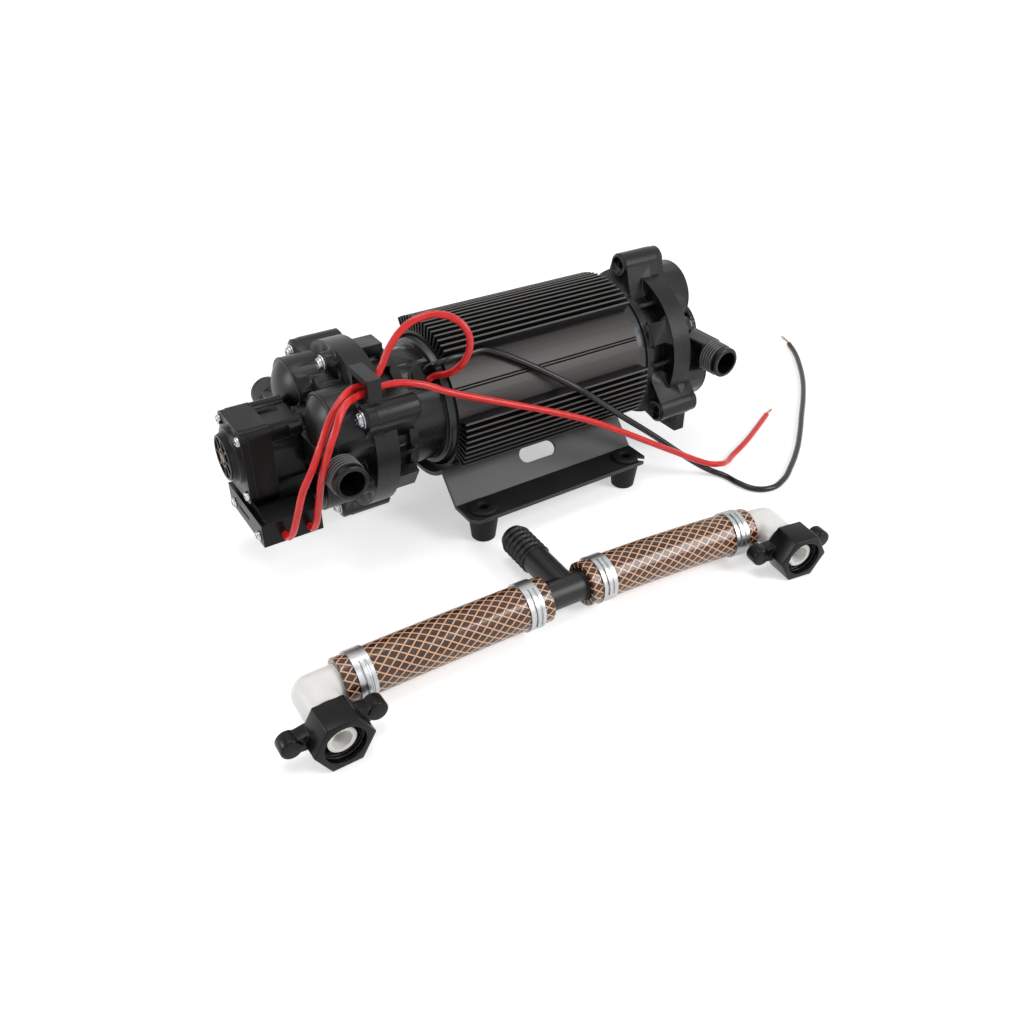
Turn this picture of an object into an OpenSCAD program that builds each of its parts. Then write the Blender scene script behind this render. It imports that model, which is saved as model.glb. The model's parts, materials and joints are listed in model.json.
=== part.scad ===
// Twin-head diaphragm water pump with its hose manifold, in millimetres.
// The motor lies along X. The head with the pressure switch is at -X, the plain head at +X.
// The origin is on the floor, midway between the four foot holes.

/* [Motor] */
// Height of the motor axis above the floor
axis_h = 70.3; // [66:0.1:80]
// Length of the finned sleeve
sleeve_l = 135; // [125:1:145]
// Middle of the finned sleeve along X
sleeve_mid = 5.5; // [3:0.5:8]
// Radius of the smooth side panels
panel_r = 44.4; // [43.8:0.1:45.5]
// Radius of the sleeve between its fins
root_r = 43.3; // [42.8:0.1:43.6]
// Radius of the fin tips
fin_tip_r = 52; // [49:0.5:53.5]
// Thickness of one fin
fin_t = 1.2; // [0.9:0.1:1.5]
// Angle from one fin to the next
fin_step = 4.35; // [4:0.05:5]
// Outer radius of the motor can
can_r = 41.3; // [40.5:0.1:41.6]
// Wall of the motor can
can_wall = 2.2; // [1.6:0.1:2.8]
// Radius of the brush barrel
barrel_r = 35; // [33:0.5:36.5]
// Wall of the brush barrel
barrel_wall = 3; // [2.5:0.1:4]
// Radius of the motor shaft
shaft_r = 4; // [3:0.1:4.5]
// Outer radius of a shaft bearing
bearing_r = 11; // [10:0.1:12]
// Width of a shaft bearing
bearing_w = 7; // [6:0.1:8]
// Radius of the armature core
core_r = 31.5; // [29:0.1:32]
// Thickness of a field magnet
magnet_t = 6.5; // [5:0.1:6.8]
// Radius of the commutator
commutator_r = 12; // [10:0.1:13]

/* [Pump head] */
// Radius of the head flanges
flange_r = 50; // [48.5:0.1:51]
// Radius of the neck behind the flange
neck_r = 39.5; // [39:0.1:41]
// Radius of the space for the wobble plate
well_r = 36.5; // [36:0.1:37.2]
// Depth of the drive housing in front of its boss ends
drive_l = 20; // [19.5:0.1:21]
// Circle of the three lug screws
lug_ring_r = 56; // [55:0.1:57.5]
// Radius of a lug boss
lug_r = 8; // [7.2:0.1:8.6]
// Circle of the three valley screws
valley_ring_r = 40.6; // [40.2:0.1:41]
// Length of the lug bosses on the valve housing
lug_l = 12; // [10:0.1:13]
// Circle of the three pistons
piston_ring_r = 27; // [26.5:0.1:27.3]
// Radius of a piston
piston_r = 8.5; // [7.5:0.1:8.7]
// Circle of the three domes
dome_ring_r = 29; // [27:0.1:30]
// Radius of a dome
dome_r = 21.5; // [20:0.1:22]
// Reach of the domes from the boss ends
dome_u = 54; // [53:0.1:55]
// Tilt of the wobble plate in degrees
wobble_tilt = 3.5; // [2.5:0.1:3.8]
// Radius of a screw shank
screw_r = 2.2; // [1.8:0.1:2.4]

/* [Ports] */
// Outer radius of the half-inch port thread
port_r = 10.5; // [10:0.05:11]
// Radius of the mouth of the port bore
port_bore_r = 7.5; // [6.8:0.1:8]
// Depth of the mouth of the port bore
port_mouth_l = 13; // [10:0.5:15]
// Distance of a port mouth from the motor axis
port_reach = 62.3; // [60:0.1:66]
// Distance of the port axis from the boss ends
port_u = 47; // [46:0.1:48]

/* [Bracket] */
// Length of the folded bracket
bracket_l = 135; // [130:1:145]
// Sheet thickness of the bracket
sheet_t = 2.5; // [2:0.1:3]
// Height of the top of the foot flanges
flange_top = 19.8; // [19:0.1:22]
// Distance of the lower bend from the centre plane
bend_y = 46.5; // [45:0.1:48]
// Distance of the flange edge from the centre plane
edge_y = 67.4; // [66:0.1:70]
// Spacing of the foot holes along X
foot_dx = 109.6; // [104:0.1:112]
// Spacing of the foot holes along Y
foot_dy = 114.8; // [112:0.1:117]
// Radius of the hole in the sheet for a foot
foot_hole_r = 5; // [4.5:0.1:5.5]
// Radius of the screw hole in a foot
foot_bore_r = 2.75; // [2.2:0.05:3]
// Radius of the top of a foot cone
foot_r = 9.5; // [8.5:0.1:10]
// Length of the slot in each side of the bracket
slot_l = 27.6; // [24:0.1:32]
// Width of the slot in each side of the bracket
slot_w = 10; // [8:0.1:11]

/* [Pressure switch] */
// Width of the switch block across Y
switch_w = 37; // [34:0.5:40]
// Top of the switch block above the motor axis
switch_top = 21.5; // [20:0.1:24]
// Bottom of the switch block below the motor axis
switch_low = 25; // [24:0.1:26]
// Length of the switch block along X
switch_l = 31; // [29:0.1:33]
// Thickness of the switch cover
cover_t = 6; // [5:0.1:7]
// Height of the microswitch box
box_h = 14.5; // [13.5:0.1:16]
// Travel of the plunger
plunger_travel = 0.8; // [0.5:0.1:1]

/* [Wires] */
// Outer diameter of a wire
wire_d = 4; // [3.4:0.1:4.2]
// Diameter of the bare strands
strand_d = 2.2; // [1.8:0.1:2.6]

/* [Hose manifold] */
// Outer diameter of the braided hose
hose_d = 25.5; // [24.5:0.1:26]
// Bore of the braided hose
hose_bore = 18.5; // [18:0.1:19.5]
// Band width of a hose clamp
clamp_w = 9; // [7:0.1:10]
// Thickness of a clamp band
clamp_t = 0.9; // [0.6:0.1:1.2]
// Radius of the tube of the tee and the elbows
fitting_r = 8.5; // [8:0.1:8.8]
// Radius of the body of an elbow
elbow_r = 10; // [9:0.1:10.4]
// Radius of the bore of the tee and the elbows
fitting_bore_r = 5.2; // [4.6:0.1:5.8]
// Width of a wing nut across its flats
nut_flats = 27; // [26:0.1:27.3]
// Length of a wing nut
nut_l = 20; // [19:0.1:22]
// Length of the left hose
left_hose_l = 120; // [100:1:130]
// Length of the right hose
right_hose_l = 115; // [100:1:130]

/* [Hidden] */
$fn = 64;
eps = 0.01;
run_gap = 0.05;
seat_gap = 0.1;

black_plastic = "#1d1e20";
bright_steel = "#c9cbcd";
dark_steel = "#55585c";
rubber_black = "#161616";

// Stations along the motor axis
sleeve_x0 = sleeve_mid - sleeve_l / 2;
sleeve_x1 = sleeve_mid + sleeve_l / 2;
can_lip_l = 3.4;
can_lip_r = can_r - 2;
can_x0 = sleeve_x0 - can_lip_l;
can_x1 = sleeve_x1 + 8;
can_in_r = can_r - can_wall;
barrel_l = 22.6;
barrel_x0 = can_x0 - barrel_l;
base_wall = 4;
left_x = barrel_x0 - base_wall;
right_x = can_x1 + base_wall;
end_plate_t = 4;
core_l = 80;
core_x0 = sleeve_mid - core_l / 2 + 2;
coil_l = 11;
commutator_l = 13;
commutator_x0 = core_x0 - coil_l - 1 - commutator_l;
shaft_reach = 15;

// Stations along a head, counted outwards from the boss ends
lug_angles = [60, 180, 300];
valley_angles = [0, 120, 240];
rim_u = 12;
sheet_u = drive_l;
sheet_h = 2;
plate_u = sheet_u + sheet_h;
chamber_h = 5.5;
plate_h = 8;
plate_top = plate_u + plate_h;
lobe_r = 19;
lobe_mid_r = 24;
chamber_r = 15;
front_u = drive_l + 6;
deck_u = 38;
deck_r = 33;
hub_r = 17;
cap_u = 55;
apex_u = drive_l;
journal_r = 7.5;
cam_bearing_r = 13;
journal_u = 4;
journal_l = 9;
pad_u = 14.5;
piston_top = 23.5;
valve_bore_r = 1.6;

// Places an X-axis part: its z runs along the motor axis, its -x points up
module motor_axis() {
    translate([0, 0, axis_h]) rotate([0, 90, 0]) children();
}

// Places a head part at the switch end: its z runs outwards along -X, its x points up
module head_left() {
    translate([left_x, 0, axis_h]) rotate([0, -90, 0]) children();
}

// Places the same part at the plain end, turned half round about Y
module head_right() {
    translate([right_x, 0, axis_h]) rotate([0, 90, 0]) children();
}

// A copy at each of the given angles round z
module round_copies(angles) {
    for (a = angles) rotate([0, 0, a]) children();
}

// A tube along z
module tube(r_out, r_in, h) {
    difference() {
        cylinder(r = r_out, h = h);
        translate([0, 0, -eps]) cylinder(r = r_in, h = h + 2 * eps);
    }
}

// A box given by its lowest and highest corners, heights counted from the motor axis
module axis_box(low, high) {
    translate([low[0], low[1], axis_h + low[2]])
        cube([high[0] - low[0], high[1] - low[1], high[2] - low[2]]);
}

// A bar along X with four rounded edges, heights counted from the motor axis
module axis_bar(low, high, r) {
    l = high[0] - low[0];
    w = high[1] - low[1];
    h = high[2] - low[2];
    axis_box([low[0], low[1] + r, low[2]], [high[0], high[1] - r, high[2]]);
    axis_box([low[0], low[1], low[2] + r], [high[0], high[1], high[2] - r]);
    for (y = [low[1] + r, high[1] - r]) for (z = [low[2] + r, high[2] - r])
        translate([low[0], y, axis_h + z]) rotate([0, 90, 0]) cylinder(r = r, h = l, $fn = 32);
}

// Bracket, feet and their screws
saddle_in_r = panel_r + seat_gap;
saddle_out_r = saddle_in_r + sheet_t;
side_angle = atan2(axis_h - flange_top, bend_y);
slot_r = 52.5;
screw_dx = 80;

// Round-ended slot along x, the given length overall
module slot_cut(l, w, h) {
    for (s = [-1, 1]) translate([s * (l - w) / 2, 0, 0]) cylinder(d = w, h = h);
    translate([(w - l) / 2, eps - w / 2, 0]) cube([l - w, w - 2 * eps, h]);
}

// The folded sheet seen along X, with x as Y and y as Z: saddle, two sides and two flanges
module bracket_profile() {
    side_end = (axis_h - flange_top + 2 * sheet_t) / sin(side_angle);
    low = flange_top - sheet_t;
    for (m = [0, 1]) mirror([m, 0]) {
        translate([-edge_y, low]) square([edge_y - bend_y + sheet_t / 2, sheet_t]);
        intersection() {
            translate([0, axis_h]) rotate(side_angle) translate([-side_end, -sheet_t])
                square([side_end - saddle_in_r - 0.1, sheet_t]);
            translate([-edge_y, low]) square([edge_y, axis_h]);
        }
    }
    translate([0, axis_h]) intersection() {
        difference() {
            circle(r = saddle_out_r);
            circle(r = saddle_in_r);
        }
        polygon([[0, 0], 90 * [-cos(side_angle), -sin(side_angle)],
            90 * [cos(side_angle), -sin(side_angle)]]);
    }
}

module base_bracket() {
    corner = 6.4;
    color("#3a3b3d") difference() {
        translate([-bracket_l / 2, 0, 0]) rotate([90, 0, 90])
            linear_extrude(height = bracket_l) bracket_profile();
        for (m = [0, 1]) mirror([0, m, 0]) {
            translate([0, 0, axis_h]) rotate([side_angle, 0, 0])
                translate([0, -slot_r, -2 * sheet_t]) slot_cut(slot_l, slot_w, 3 * sheet_t);
            for (s = [-1, 1]) {
                translate([s * bracket_l / 2, -edge_y, flange_top - sheet_t / 2])
                    rotate([0, 0, 45]) cube([corner, 3 * corner, 2 * sheet_t], center = true);
                translate([s * foot_dx / 2, -foot_dy / 2, 0])
                    cylinder(r = foot_hole_r, h = flange_top + 5);
            }
        }
        for (s = [-1, 1]) translate([sleeve_mid + s * screw_dx / 2, 0, 0])
            cylinder(r = screw_r + seat_gap, h = axis_h);
    }
}

module rubber_foot() {
    grip = sheet_t + seat_gap;
    low = flange_top - sheet_t;
    rotate_extrude() polygon([
        [foot_bore_r, 0], [foot_r - 2.6, 0], [foot_r - 2, 0.6], [foot_r, low - 0.05],
        [foot_hole_r - 0.1, low - 0.05], [foot_hole_r - 0.1, low + grip],
        [foot_r - 1, low + grip], [foot_r - 0.6, low + grip + 0.8],
        [foot_r - 1.6, low + grip + 2.6], [foot_bore_r + 1.6, low + grip + 2.6],
        [foot_bore_r, low + grip + 1.2]
    ]);
}

module rubber_feet() {
    color(rubber_black) for (x = [-1, 1]) for (y = [-1, 1])
        translate([x * foot_dx / 2, y * foot_dy / 2, 0]) rubber_foot();
}

// Pan head screw with its washer, head downwards on z = 0 and shank up to h
module pan_screw(h) {
    translate([0, 0, -3.4]) cylinder(r1 = 3.2, r2 = 4.2, h = 1.2);
    translate([0, 0, -2.2]) cylinder(r = 4.2, h = 1.2);
    translate([0, 0, -1]) cylinder(r = 5.2, h = 1);
    cylinder(r = screw_r, h = h);
}

module bracket_screws() {
    color(bright_steel) for (s = [-1, 1])
        translate([sleeve_mid + s * screw_dx / 2, 0, axis_h - saddle_out_r])
            pan_screw(saddle_out_r - can_in_r - 0.4);
}

// Heat sink sleeve
top_fins = [-7.5 : 1 : 7.5];
side_fins = [0 : 8];
side_first = 7.6;
groove_angle = 31;

module fin_profile(theta) {
    rotate(-90 - theta) translate([root_r - 0.6, -fin_t / 2])
        square([fin_tip_r - root_r + 0.6, fin_t]);
}

// Band of a ring between two angles, seen along the axis
module panel_profile(theta0, theta1) {
    intersection() {
        circle(r = panel_r);
        polygon([[0, 0], for (t = [theta0, (theta0 + theta1) / 2, theta1])
            2 * panel_r * [-sin(t), -cos(t)]]);
    }
}

module sleeve_profile() {
    difference() {
        union() {
            circle(r = root_r);
            for (k = top_fins) fin_profile(90 + k * fin_step);
            for (k = side_fins) for (t = [side_first - k * fin_step])
                for (a = [t, 180 - t]) fin_profile(a);
            panel_profile(side_first + 2.4, 54);
            panel_profile(126, 177.6 - side_first);
            panel_profile(-139, -41);
        }
        circle(r = can_r + seat_gap);
        for (t = [groove_angle, 180 - groove_angle]) for (g = [-1.1, 1.1])
            rotate(-90 - t - g) translate([panel_r - 0.5, -0.35]) square([1, 0.7]);
    }
}

module heat_sink_sleeve() {
    color("#26272a") translate([sleeve_x0, 0, 0]) motor_axis() difference() {
        linear_extrude(height = sleeve_l) sleeve_profile();
        for (s = [-1, 1]) translate([0, 0, sleeve_mid - sleeve_x0 + s * screw_dx / 2])
            rotate([0, 90, 0]) cylinder(r = screw_r + seat_gap, h = fin_tip_r + 5);
    }
}

// Motor can with its rolled left lip
module motor_can() {
    color(dark_steel) difference() {
        translate([can_x0, 0, 0]) motor_axis() rotate_extrude() polygon([
            [can_lip_r - can_wall, 0], [can_lip_r - 0.6, 0], [can_lip_r, 0.6],
            [can_lip_r, can_lip_l], [can_r, can_lip_l + 1], [can_r, can_x1 - can_x0],
            [can_in_r, can_x1 - can_x0], [can_in_r, can_lip_l + 1.6],
            [can_lip_r - can_wall, can_lip_l]
        ]);
        for (s = [-1, 1]) translate([sleeve_mid + s * screw_dx / 2, 0, 0])
            cylinder(r = screw_r + seat_gap, h = axis_h);
    }
}

// Barrel that holds the brush gear, with the notch where the leads come out
barrel_end_r = can_lip_r - can_wall - seat_gap;
notch_theta = 52;
notch_w = 12;
notch_u = 14;
notch_rim = 2;

// The notch between two radii, in the barrel's frame with x outwards through its middle
module notch_slot(r0, r1, w, end) {
    translate([r0, 0, 0]) rotate([0, 90, 0]) linear_extrude(height = r1 - r0) polygon(concat(
        [[-end, -w / 2], [-end, w / 2]],
        [for (a = [90 : -22.5 : -90]) [w / 2 * cos(a) - notch_u, w / 2 * sin(a)]]
    ));
}

module brush_housing() {
    color(black_plastic) difference() {
        translate([barrel_x0, 0, 0]) motor_axis() difference() {
            union() {
                rotate_extrude() polygon([
                    [shaft_r + 1, 0], [barrel_r - 0.8, 0], [barrel_r, 0.8], [barrel_r, barrel_l],
                    [barrel_end_r, barrel_l], [barrel_end_r, barrel_l + 3],
                    [barrel_r - barrel_wall, barrel_l + 3], [barrel_r - barrel_wall, 3],
                    [bearing_r + 3, 3], [bearing_r + 3, bearing_w + 2],
                    [bearing_r + seat_gap / 2, bearing_w + 2], [bearing_r + seat_gap / 2, 2],
                    [shaft_r + 1, 2]
                ]);
                rotate([0, 0, -90 - notch_theta])
                    notch_slot(barrel_r - 1.2, barrel_r + 1.6, notch_w + 2 * notch_rim, barrel_l - 0.1);
                rotate([0, 0, -90 - 82]) translate([barrel_r - 1, -7, 2]) cube([2.4, 14, 12]);
            }
            rotate([0, 0, -90 - notch_theta])
                notch_slot(barrel_r - 6, barrel_r + 6, notch_w, 2 * barrel_l);
        }
    }
}

// Rubber bush that fills the notch, with a slanted face and a blind hole for each lead
module wire_grommet() {
    low_r = barrel_r - barrel_wall - seat_gap;
    high_r = barrel_r + 3.1;
    face_u = 17;
    face_r = barrel_r + 1;
    lead_depth = 3.6;
    color(rubber_black) translate([barrel_x0, 0, 0]) motor_axis() rotate([0, 0, -90 - notch_theta])
        difference() {
            intersection() {
                notch_slot(low_r, high_r, notch_w - 2 * seat_gap, barrel_l);
                translate([0, notch_w, 0]) rotate([90, 0, 0]) linear_extrude(height = 2 * notch_w)
                    polygon([
                        [low_r, 0], [high_r, 0], [high_r, face_u + face_r - high_r],
                        [face_r - 2.1, face_u + 2.1], [low_r, face_u + 2.1]
                    ]);
            }
            for (s = [-1, 1]) translate([face_r, s * 2.9, face_u]) rotate([0, 45, 0])
                translate([0, 0, -lead_depth]) cylinder(d = wire_d + 2 * seat_gap, h = 10, $fn = 24);
        }
}

// Plate that closes the can at the plain end and holds the second bearing
module drive_end_plate() {
    color(dark_steel) translate([can_x1, 0, 0]) motor_axis() rotate_extrude() polygon([
        [shaft_r + 1, 0], [can_in_r - seat_gap, 0], [can_in_r - seat_gap, -end_plate_t],
        [bearing_r + 3, -end_plate_t], [bearing_r + 3, -bearing_w - 2],
        [bearing_r + seat_gap / 2, -bearing_w - 2], [bearing_r + seat_gap / 2, -2],
        [shaft_r + 1, -2]
    ]);
}

module ball_race(r_out, r_in, w) {
    rotate_extrude() polygon([
        [r_in, 0], [r_in + 1.6, 0], [r_in + 1.8, 0.6], [r_out - 1.8, 0.6], [r_out - 1.6, 0],
        [r_out, 0], [r_out, w], [r_out - 1.6, w], [r_out - 1.8, w - 0.6], [r_in + 1.8, w - 0.6],
        [r_in + 1.6, w], [r_in, w]
    ]);
}

module shaft_bearings() {
    color(bright_steel) {
        translate([barrel_x0 + 2, 0, 0]) motor_axis()
            ball_race(bearing_r, shaft_r + run_gap, bearing_w);
        translate([can_x1 - 2 - bearing_w, 0, 0]) motor_axis()
            ball_race(bearing_r, shaft_r + run_gap, bearing_w);
    }
}

module magnets() {
    outer = can_in_r - 0.05;
    color("#4a4a4e") translate([core_x0 - 4, 0, 0]) motor_axis()
        for (a = [90, 270]) rotate([0, 0, a - 62]) rotate_extrude(angle = 124)
            translate([outer - magnet_t, 0]) square([magnet_t, core_l + 8]);
}

// Brush card, brushes and springs
brush_w = 6;
brush_l = 11;
brush_gap = 0.3;
card_t = 2;
card_x0 = can_x0 + 3 + seat_gap;
brush_x0 = commutator_x0 + 3;

module brush_card() {
    color("#6b4a2b") translate([card_x0, 0, 0]) motor_axis() difference() {
        union() {
            tube(barrel_end_r - seat_gap, commutator_r + 2, card_t);
            for (a = [90, 270]) rotate([0, 0, a])
                translate([commutator_r + 3, -brush_w / 2 - 1.6, card_t - eps])
                    cube([14, brush_w + 3.2, brush_x0 - card_x0 - card_t + brush_w + 1.6]);
        }
        for (a = [90, 270]) rotate([0, 0, a])
            translate([commutator_r, -brush_w / 2 - seat_gap, brush_x0 - card_x0 - seat_gap])
                cube([30, brush_w + 2 * seat_gap, brush_w + 2 * seat_gap]);
    }
}

module brushes() {
    color("#2b2b2e") translate([brush_x0, 0, 0]) motor_axis()
        for (a = [90, 270]) rotate([0, 0, a])
            translate([commutator_r + brush_gap, -brush_w / 2, 0])
                cube([brush_l, brush_w, brush_w]);
}

module brush_springs() {
    color(bright_steel) translate([brush_x0 + brush_w / 2, 0, 0]) motor_axis()
        for (a = [90, 270]) rotate([0, 0, a]) translate([commutator_r + brush_gap + brush_l, 0, 0])
            rotate([0, 90, 0]) for (k = [0 : 3]) translate([0, 0, 0.1 + k * 1.1])
                tube(2.6, 1.8, 0.6 + (k < 3 ? 0.5 : 0));
}

// Rotor
module motor_shaft() {
    x0 = left_x - shaft_reach;
    x1 = right_x + shaft_reach;
    color(bright_steel) translate([x0, 0, 0]) motor_axis() rotate_extrude() polygon([
        [0, 0], [shaft_r - 0.6, 0], [shaft_r, 0.6], [shaft_r, x1 - x0 - 0.6],
        [shaft_r - 0.6, x1 - x0], [0, x1 - x0]
    ]);
}

pole_count = 12;

module armature_core() {
    color("#70757a") translate([core_x0, 0, 0]) motor_axis() difference() {
        cylinder(r = core_r, h = core_l);
        translate([0, 0, -1]) cylinder(r = shaft_r + 0.01, h = core_l + 2);
        for (k = [0 : pole_count - 1]) rotate([0, 0, k * 360 / pole_count]) {
            translate([core_r - 4, -1.1, -1]) cube([8, 2.2, core_l + 2]);
            translate([core_r - 7.5, 0, -1]) cylinder(r = 4, h = core_l + 2, $fn = 32);
        }
    }
}

module coil_end(h) {
    rotate_extrude() polygon([
        [shaft_r + 5, 0], [core_r - 5, 0], [core_r - 3.6, h * 0.3], [core_r - 4.4, h * 0.75],
        [core_r - 8, h], [shaft_r + 9, h], [shaft_r + 5, h * 0.7]
    ]);
}

module armature_windings() {
    color("#a5562a") {
        translate([core_x0 + core_l + 0.02, 0, 0]) motor_axis() coil_end(coil_l);
        translate([core_x0 - 0.02, 0, 0]) motor_axis() mirror([0, 0, 1]) coil_end(coil_l);
        translate([core_x0 - 0.02, 0, 0]) motor_axis() for (k = [0 : pole_count - 1])
            rotate([0, 0, k * 360 / pole_count]) translate([core_r - 7.5, 0, 0])
                cylinder(r = 3.7, h = core_l + 0.04, $fn = 32);
    }
}

module commutator() {
    color("#b87344") translate([commutator_x0, 0, 0]) motor_axis() difference() {
        union() {
            cylinder(r = commutator_r, h = commutator_l);
            translate([0, 0, commutator_l - 2.4]) cylinder(r = commutator_r + 1.4, h = 2.4);
        }
        translate([0, 0, -1]) cylinder(r = shaft_r + 0.01, h = commutator_l + 2);
        for (k = [0 : pole_count - 1]) rotate([0, 0, (k + 0.5) * 360 / pole_count])
            translate([commutator_r - 1, -0.3, -1]) cube([4, 0.6, commutator_l + 2]);
    }
}

// Everything on the wobble plate is drawn in the plate's own tilted frame
module tilted() {
    translate([0, 0, apex_u]) rotate([wobble_tilt, 0, 0]) translate([0, 0, -apex_u]) children();
}

module cam_hub() {
    difference() {
        union() {
            translate([0, 0, 0.6]) cylinder(r = journal_r + 1.5, h = journal_u - 0.6);
            tilted() translate([0, 0, journal_u - 1]) cylinder(r = journal_r, h = journal_l + 1);
        }
        translate([0, 0, -1]) cylinder(r = shaft_r + 0.01, h = 30);
    }
}

module cam_bearing() {
    tilted() translate([0, 0, journal_u + 0.9])
        ball_race(cam_bearing_r, journal_r + 0.01, journal_l - 1);
}

module wobble_plate() {
    arm_u = 9;
    tilted() difference() {
        union() {
            translate([0, 0, journal_u + 0.9]) cylinder(r = cam_bearing_r + 4, h = 9.6);
            round_copies(lug_angles) {
                translate([cam_bearing_r, -6, arm_u]) cube([piston_ring_r - cam_bearing_r, 12, 4.6]);
                translate([cam_bearing_r, -1.5, journal_u + 2])
                    cube([piston_ring_r - cam_bearing_r, 3, arm_u - journal_u - 1]);
                translate([piston_ring_r, 0, arm_u]) cylinder(r = piston_r - 0.5, h = pad_u - arm_u);
            }
        }
        translate([0, 0, -1]) cylinder(r = cam_bearing_r + run_gap, h = 40);
        round_copies(lug_angles) translate([piston_ring_r, 0, 0]) cylinder(r = 2.5, h = 40);
    }
}

module pistons() {
    tilted() round_copies(lug_angles) translate([piston_ring_r, 0, 0]) rotate_extrude() polygon([
        [0, 10.5], [2.4, 10.5], [2.4, pad_u], [5.5, pad_u], [5.5, 17.5], [piston_r, 18.5],
        [piston_r, piston_top - 1], [piston_r - 1, piston_top], [3.5, piston_top],
        [3.5, piston_top - 1.4], [0, piston_top - 1.4]
    ]);
}

// Three lobes joined in the middle, the outline of the sheet and of the valve plate
module lobes(r, h) {
    linear_extrude(height = h) {
        circle(r = lobe_mid_r + r - lobe_r);
        for (a = lug_angles) rotate(a) translate([piston_ring_r, 0]) circle(r = r);
    }
}

// Moulded sheet with a raised ring round each piston
module diaphragm() {
    hole_r = piston_r + 0.7;
    translate([0, 0, sheet_u]) difference() {
        union() {
            lobes(lobe_r - seat_gap, sheet_h);
            round_copies(lug_angles) translate([piston_ring_r, 0, sheet_h - eps])
                tube(hole_r + 3, hole_r, 1.6);
        }
        round_copies(lug_angles) translate([piston_ring_r, 0, -1])
            cylinder(r = hole_r, h = sheet_h + 4);
    }
}

// Lug with flanks that run tangent from its boss to the neck
module lug_outline(r) {
    root_half = lug_r + 7;
    translate([lug_ring_r, 0]) circle(r = r);
    polygon([
        [neck_r - 6, -root_half], [lug_ring_r + 0.5, 0.02 - r],
        [lug_ring_r + 0.5, r - 0.02], [neck_r - 6, root_half]
    ]);
}

module drive_housing(mouth_r) {
    difference() {
        union() {
            translate([0, 0, -base_wall]) cylinder(r = neck_r, h = drive_l + base_wall);
            translate([0, 0, -base_wall]) cylinder(r = neck_r + 3, h = base_wall + 1.4);
            translate([0, 0, rim_u]) cylinder(r = flange_r, h = drive_l - rim_u);
            round_copies(lug_angles) {
                translate([0, 0, 1.2]) linear_extrude(height = drive_l - 1.2) lug_outline(lug_r);
                translate([lug_ring_r, 0, 0]) cylinder(r1 = lug_r - 1.4, r2 = lug_r - 0.2, h = 1.4);
            }
            round_copies(valley_angles) translate([neck_r - 6, -7, -2])
                cube([flange_r - neck_r + 3.6, 14, drive_l + 2]);
            for (a = [-1, 1]) round_copies(valley_angles) rotate([0, 0, a * 26])
                translate([neck_r - 4, -1.2, 0]) cube([flange_r - neck_r - 1, 2.4, drive_l - 1]);
        }
        cylinder(r = well_r, h = drive_l + 1);
        translate([0, 0, -base_wall - 1]) cylinder(r = mouth_r, h = base_wall + 2);
        round_copies(lug_angles) translate([lug_ring_r, 0, -1]) {
            cylinder(r = screw_r + seat_gap, h = drive_l + 2);
            cylinder(r = lug_r - 2.6, h = 3.4);
        }
        round_copies(valley_angles) translate([valley_ring_r, 0, 2])
            cylinder(r = screw_r + seat_gap, h = drive_l);
    }
}

// One dome of the valve housing
module dome() {
    ball_r = 30;
    intersection() {
        translate([0, 0, front_u - 4]) cylinder(r = dome_r, h = dome_u);
        translate([0, 0, dome_u - ball_r]) sphere(r = ball_r, $fn = 96);
    }
}

// Threaded port along -y of the head, at its own height
module port_outside() {
    neck_end = port_reach - 16;
    neck_h = cap_u - port_u - 0.2;
    translate([-8.5, -neck_end, port_u - neck_h]) cube([17, neck_end, 2 * neck_h]);
    translate([0, 0, port_u]) rotate([90, 0, 0]) {
        translate([0, 0, neck_end - 1]) cylinder(r = port_r - 1.1, h = port_reach - neck_end);
        for (k = [0 : 5]) translate([0, 0, neck_end + 1.2 + k * 1.82])
            cylinder(r1 = port_r, r2 = port_r - 0.9, h = 1.1);
        for (k = [0 : 5]) translate([0, 0, neck_end + 0.6 + k * 1.82])
            cylinder(r1 = port_r - 0.9, r2 = port_r, h = 0.62);
        translate([0, 0, port_reach - 3.6]) cylinder(r = port_r - 0.4, h = 2.8);
        translate([0, 0, port_reach - 0.82]) cylinder(r1 = port_r - 0.4, r2 = port_r - 1, h = 0.82);
    }
}

// Loop beside the near lug that guides the wires
loop_reach = 49.5;
loop_bar = 4;
loop_w = 8;

module wire_loop() {
    difference() {
        translate([26, -loop_reach, drive_l]) cube([loop_reach - 26, loop_reach - 27, loop_w]);
        translate([28, -loop_reach + loop_bar, drive_l - 1])
            cube([loop_reach - loop_bar - 28, loop_reach - loop_bar - 30, loop_w + 2]);
    }
}

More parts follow.
